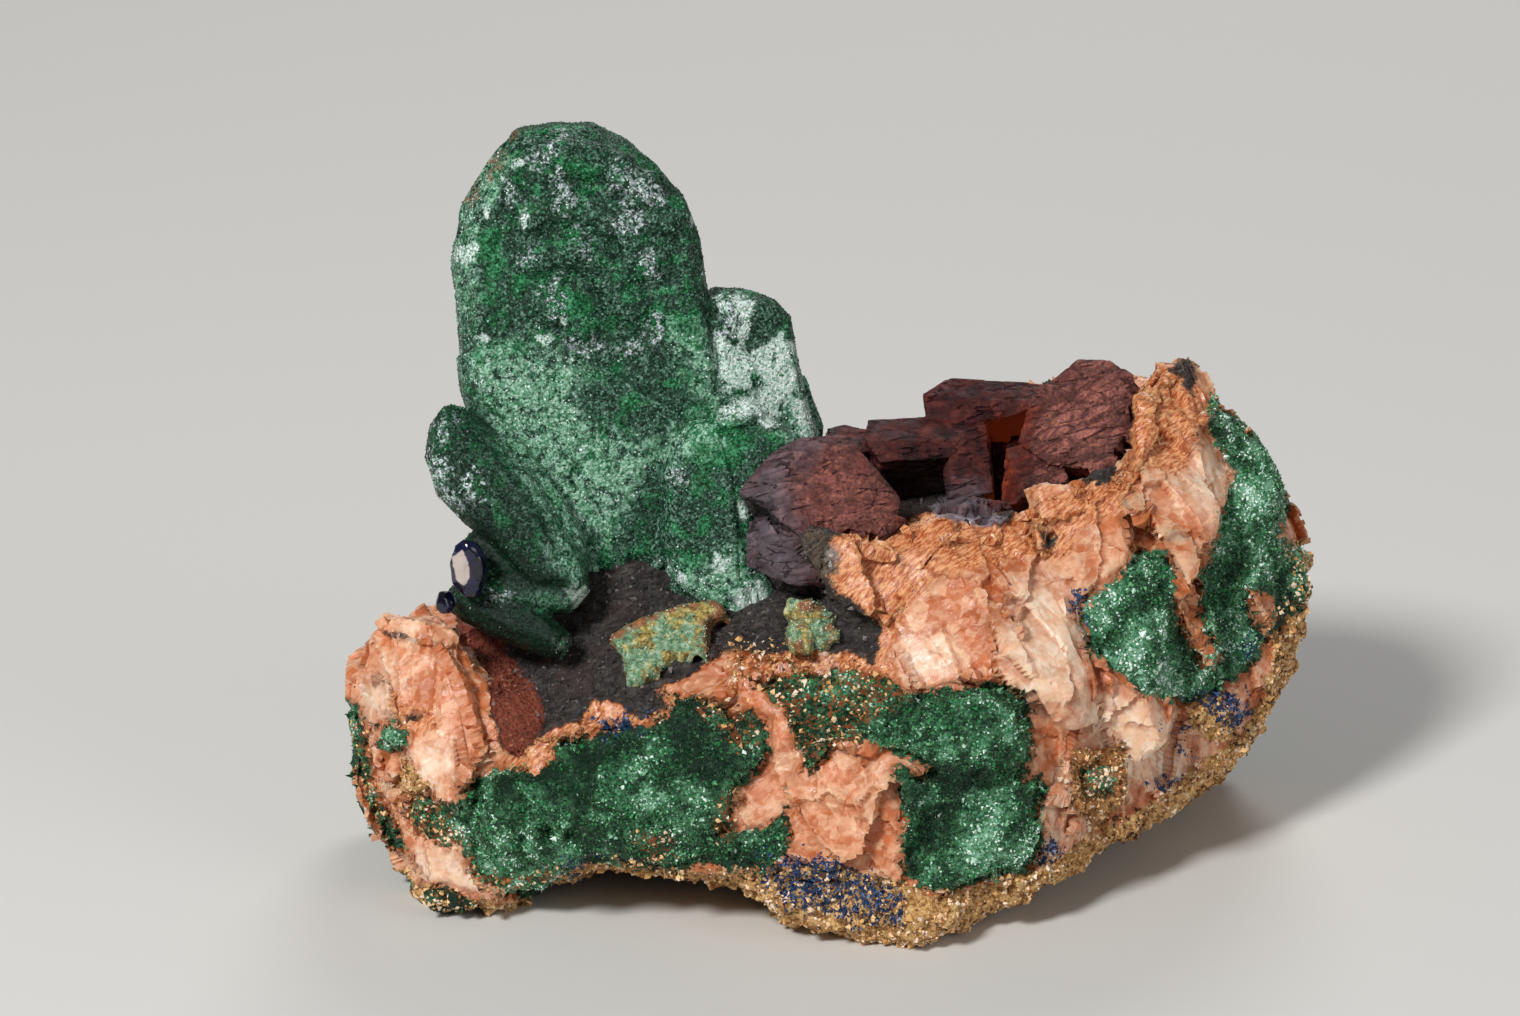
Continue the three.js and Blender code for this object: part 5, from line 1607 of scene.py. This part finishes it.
class SPECIMEN_OT_rhombs(bpy.types.Operator):
    """Builds the three groups of iron-stained rhombs"""

    bl_idname = "specimen.rhombs"
    bl_label = "Rhombs"

    def execute(self, context):
        material = rhomb_material(paints())
        for seed, (node, rise, brick_size, depth, powder) in enumerate(RHOMB_GRAIN):
            piece, surface = remeshed(node, node + "_stained", 0.85 * sizes().small_mesh)
            surface.snap_to(solid_tree(node))
            angle = math.radians(rise)
            along = math.cos(angle) * VIEW_RIGHT + math.sin(angle) * VIEW_UP
            across = math.cos(angle) * VIEW_UP - math.sin(angle) * VIEW_RIGHT
            frame_of_grain = np.stack([along, across, VIEW_NEAR], axis=1)
            local = surface.points @ frame_of_grain
            local += 0.25 * MM * rough_noise(surface.points, 2.5 * MM, 2, 109)[:, None]
            crack = np.zeros(len(local))
            for shape, share in BRICKS:
                shrunk = local @ np.diag(1 / np.array(shape)) @ TURN.T
                _, high, near, far = grains(shrunk, brick_size * MM, seed)
                split = 1 - eased(far - near, 0.02, 0.16)
                crack = np.maximum(crack, share * split)
                surface.push(share * ((high - 0.5) * depth - 0.9 * depth * split) * MM)
            surface.sink_to(BUILT["rock_tree"], 0.5 * MM, 0.3 * MM)
            surface.write()
            surface.note("crack", crack * min(depth / 0.12, 1))
            surface = thinned(piece, PIECE_KEPT)
            x, y = in_picture(surface.points)
            wander = 14 * rough_noise(surface.points, 2 * MM, 3, 117)
            surface.note("dust", depth_in_any(RED_DUST, x + wander, y + wander))
            surface.note("plum", depth_in_any(PLUM_FACES, x + wander / 3, y + wander / 3))
            surface.note("deep", depth_in_any(DEEP_SHADE, x, y))
            surface.note("glow", depth_in_any(PAINTED_GLOW_DEPTHS, x, y))
            surface.note("powder", np.full(len(x), powder))
            dress(piece, material, [node], crease=26)
        return {"FINISHED"}


# Marks on the flake, as outlines in the picture
OLIVE_PATCHES = [
    [(662, 612), (690, 598), (722, 600), (728, 612), (705, 626), (690, 618), (668, 628)],
    [(630, 640), (650, 630), (655, 645), (638, 652)],
    [(645, 676), (660, 672), (660, 690), (648, 690)],
    [(786, 600), (816, 600), (822, 618), (806, 626), (790, 624)],
    [(788, 640), (806, 634), (816, 648), (800, 660), (788, 654)],
]
FLAKE_FACE = [
    (614, 644), (634, 628), (664, 613), (700, 603), (720, 606), (702, 622), (700, 650),
    (704, 662), (686, 668), (656, 680), (640, 694), (626, 690), (624, 664),
]


class SPECIMEN_OT_flake(bpy.types.Operator):
    """Builds the yellow-green flake and the small nodules in the hollow"""

    bl_idname = "specimen.flake"
    bl_label = "Flake and nodules"

    def execute(self, context):
        material = flake_material()
        for node in ("malachite_flake", "malachite_nodules"):
            piece, surface = remeshed(node, node + "_crusted", 0.12 * MM)
            surface.relax(0.5, 2)
            points = surface.points
            _, _, near, _ = grains(points, 0.7 * MM, 131)
            crumbly = 1.0 if "flake" in node else 2.2
            crumbs = rough_noise(points, 1.2 * MM, 3, 137) * 0.2 * MM
            surface.push(crumbly * ((0.6 - near) * 0.16 * MM + crumbs))
            surface.sink_to(BUILT["rock_tree"], 0.5 * MM, 0.3 * MM)
            surface.write()
            x, y = in_picture(surface.points)
            surface.note("olive", depth_in_any(OLIVE_PATCHES, x, y))
            rim = -depth_inside(FLAKE_FACE, x, y)
            if "nodules" in node:
                rim = rough_noise(surface.points, 0.9 * MM, 3, 141) * 0.8 * MM - 0.1 * MM
            surface.note("rim", rim)
            dress(piece, material, [node])
            tone = rough_noise(surface.points, 1.2 * MM, 2, 139) * 0.3
            crust = druse(
                node + "_grains", surface, np.ones(len(points)), sizes().bare_grains,
                0.8 * sizes().blade_grain, 149, sway=0.7, tone=tone,
            )
            tones = (
                (0.0, (0.03, 0.08, 0.045)), (0.45, (0.14, 0.26, 0.15)), (0.7, (0.38, 0.5, 0.3)),
                (0.85, (0.45, 0.32, 0.1)), (1.0, (0.75, 0.85, 0.72)),
            )
            dress(crust, malachite_grain_material(node + " grains", tones, 0.3), crease=0)
        return {"FINISHED"}


# The lamps: place and width in metres, and power in watts
LAMPS = (
    ("key", (-0.28, -0.42, 0.46), 0.14, 4.1),
    ("fill", (0.5, -0.38, 0.3), 0.4, 0.8),
    ("back", (0.1, 0.5, 0.42), 0.3, 1.2),
)
LAMP_TARGET = (0, 0, 0.02)
ROOM_LIGHT = ((0.8, 0.82, 0.86, 1), 0.17)  # colour and strength


def lamp(name, place, width, power):
    """A round soft lamp that points at the specimen."""
    data = bpy.data.lights.new(name, "AREA")
    data.shape = "DISK"
    data.size = width
    data.energy = power
    light = bpy.data.objects.new(name, data)
    light.location = place
    aim = Vector(LAMP_TARGET) - Vector(place)
    light.rotation_euler = aim.to_track_quat("-Z", "Y").to_euler()
    bpy.context.scene.collection.objects.link(light)


class SPECIMEN_OT_stage(bpy.types.Operator):
    """Lays the pale floor and sets the soft light and the camera"""

    bl_idname = "specimen.stage"
    bl_label = "Stage"

    def execute(self, context):
        scene = bpy.context.scene
        bpy.ops.mesh.primitive_circle_add(vertices=96, radius=4, fill_type="NGON")
        floor = bpy.context.object
        floor.name = "floor"
        material, g, shader = new_material("Pale floor", Roughness=0.75)
        g.feed(shader["Base Color"], g.mix(g.noise(0.4, 2), paints().floor, dimmed(paints().floor, 0.94)))
        floor.data.materials.append(material)

        world = bpy.data.worlds.new("Soft room")
        world.use_nodes = True
        room = world.node_tree.nodes["Background"].inputs
        room["Color"].default_value, room["Strength"].default_value = ROOM_LIGHT
        scene.world = world
        for settings in LAMPS:
            lamp(*settings)

        camera = bpy.data.cameras.new("picture view")
        camera.sensor_width = SENSOR_WIDTH
        camera.lens = SENSOR_WIDTH * EYE_DISTANCE / (PICTURE_WIDTH * PIXEL)
        camera.clip_start = 0.01
        camera.clip_end = 20
        seat = bpy.data.objects.new("picture view", camera)
        seat.location = EYE
        seat.rotation_euler = Vector(-VIEW_NEAR).to_track_quat("-Z", "Y").to_euler()
        scene.collection.objects.link(seat)
        scene.camera = seat
        scene.view_settings.view_transform = "Standard"
        return {"FINISHED"}


class SPECIMEN_PT_panel(bpy.types.Panel):
    """Lists the specimen's sizes, colours and pieces"""

    bl_idname = "SPECIMEN_PT_panel"
    bl_label = "Malachite Specimen"
    bl_space_type = "VIEW_3D"
    bl_region_type = "UI"
    bl_category = "Specimen"

    def draw(self, context):
        for settings in (context.scene.specimen_sizes, context.scene.specimen_colours):
            box = self.layout.box()
            for name in settings.__annotations__:
                box.prop(settings, name)
        for operator in OPERATORS:
            self.layout.operator(operator.bl_idname)


OPERATORS = (
    SPECIMEN_OT_stage,
    SPECIMEN_OT_rock,
    SPECIMEN_OT_crusts,
    SPECIMEN_OT_main_blades,
    SPECIMEN_OT_fan,
    SPECIMEN_OT_azurite,
    SPECIMEN_OT_rhombs,
    SPECIMEN_OT_flake,
)
CLASSES = (SpecimenSizes, SpecimenColours, *OPERATORS, SPECIMEN_PT_panel)


def register():
    for one in CLASSES:
        bpy.utils.register_class(one)
    bpy.types.Scene.specimen_sizes = PointerProperty(type=SpecimenSizes)
    bpy.types.Scene.specimen_colours = PointerProperty(type=SpecimenColours)


def unregister():
    del bpy.types.Scene.specimen_colours
    del bpy.types.Scene.specimen_sizes
    for one in reversed(CLASSES):
        bpy.utils.unregister_class(one)


def main():
    register()
    build = bpy.ops.specimen
    for step in (
        build.stage, build.rock, build.crusts, build.main_blades,
        build.fan, build.azurite, build.rhombs, build.flake,
    ):
        step()


if __name__ == "__main__":
    main()
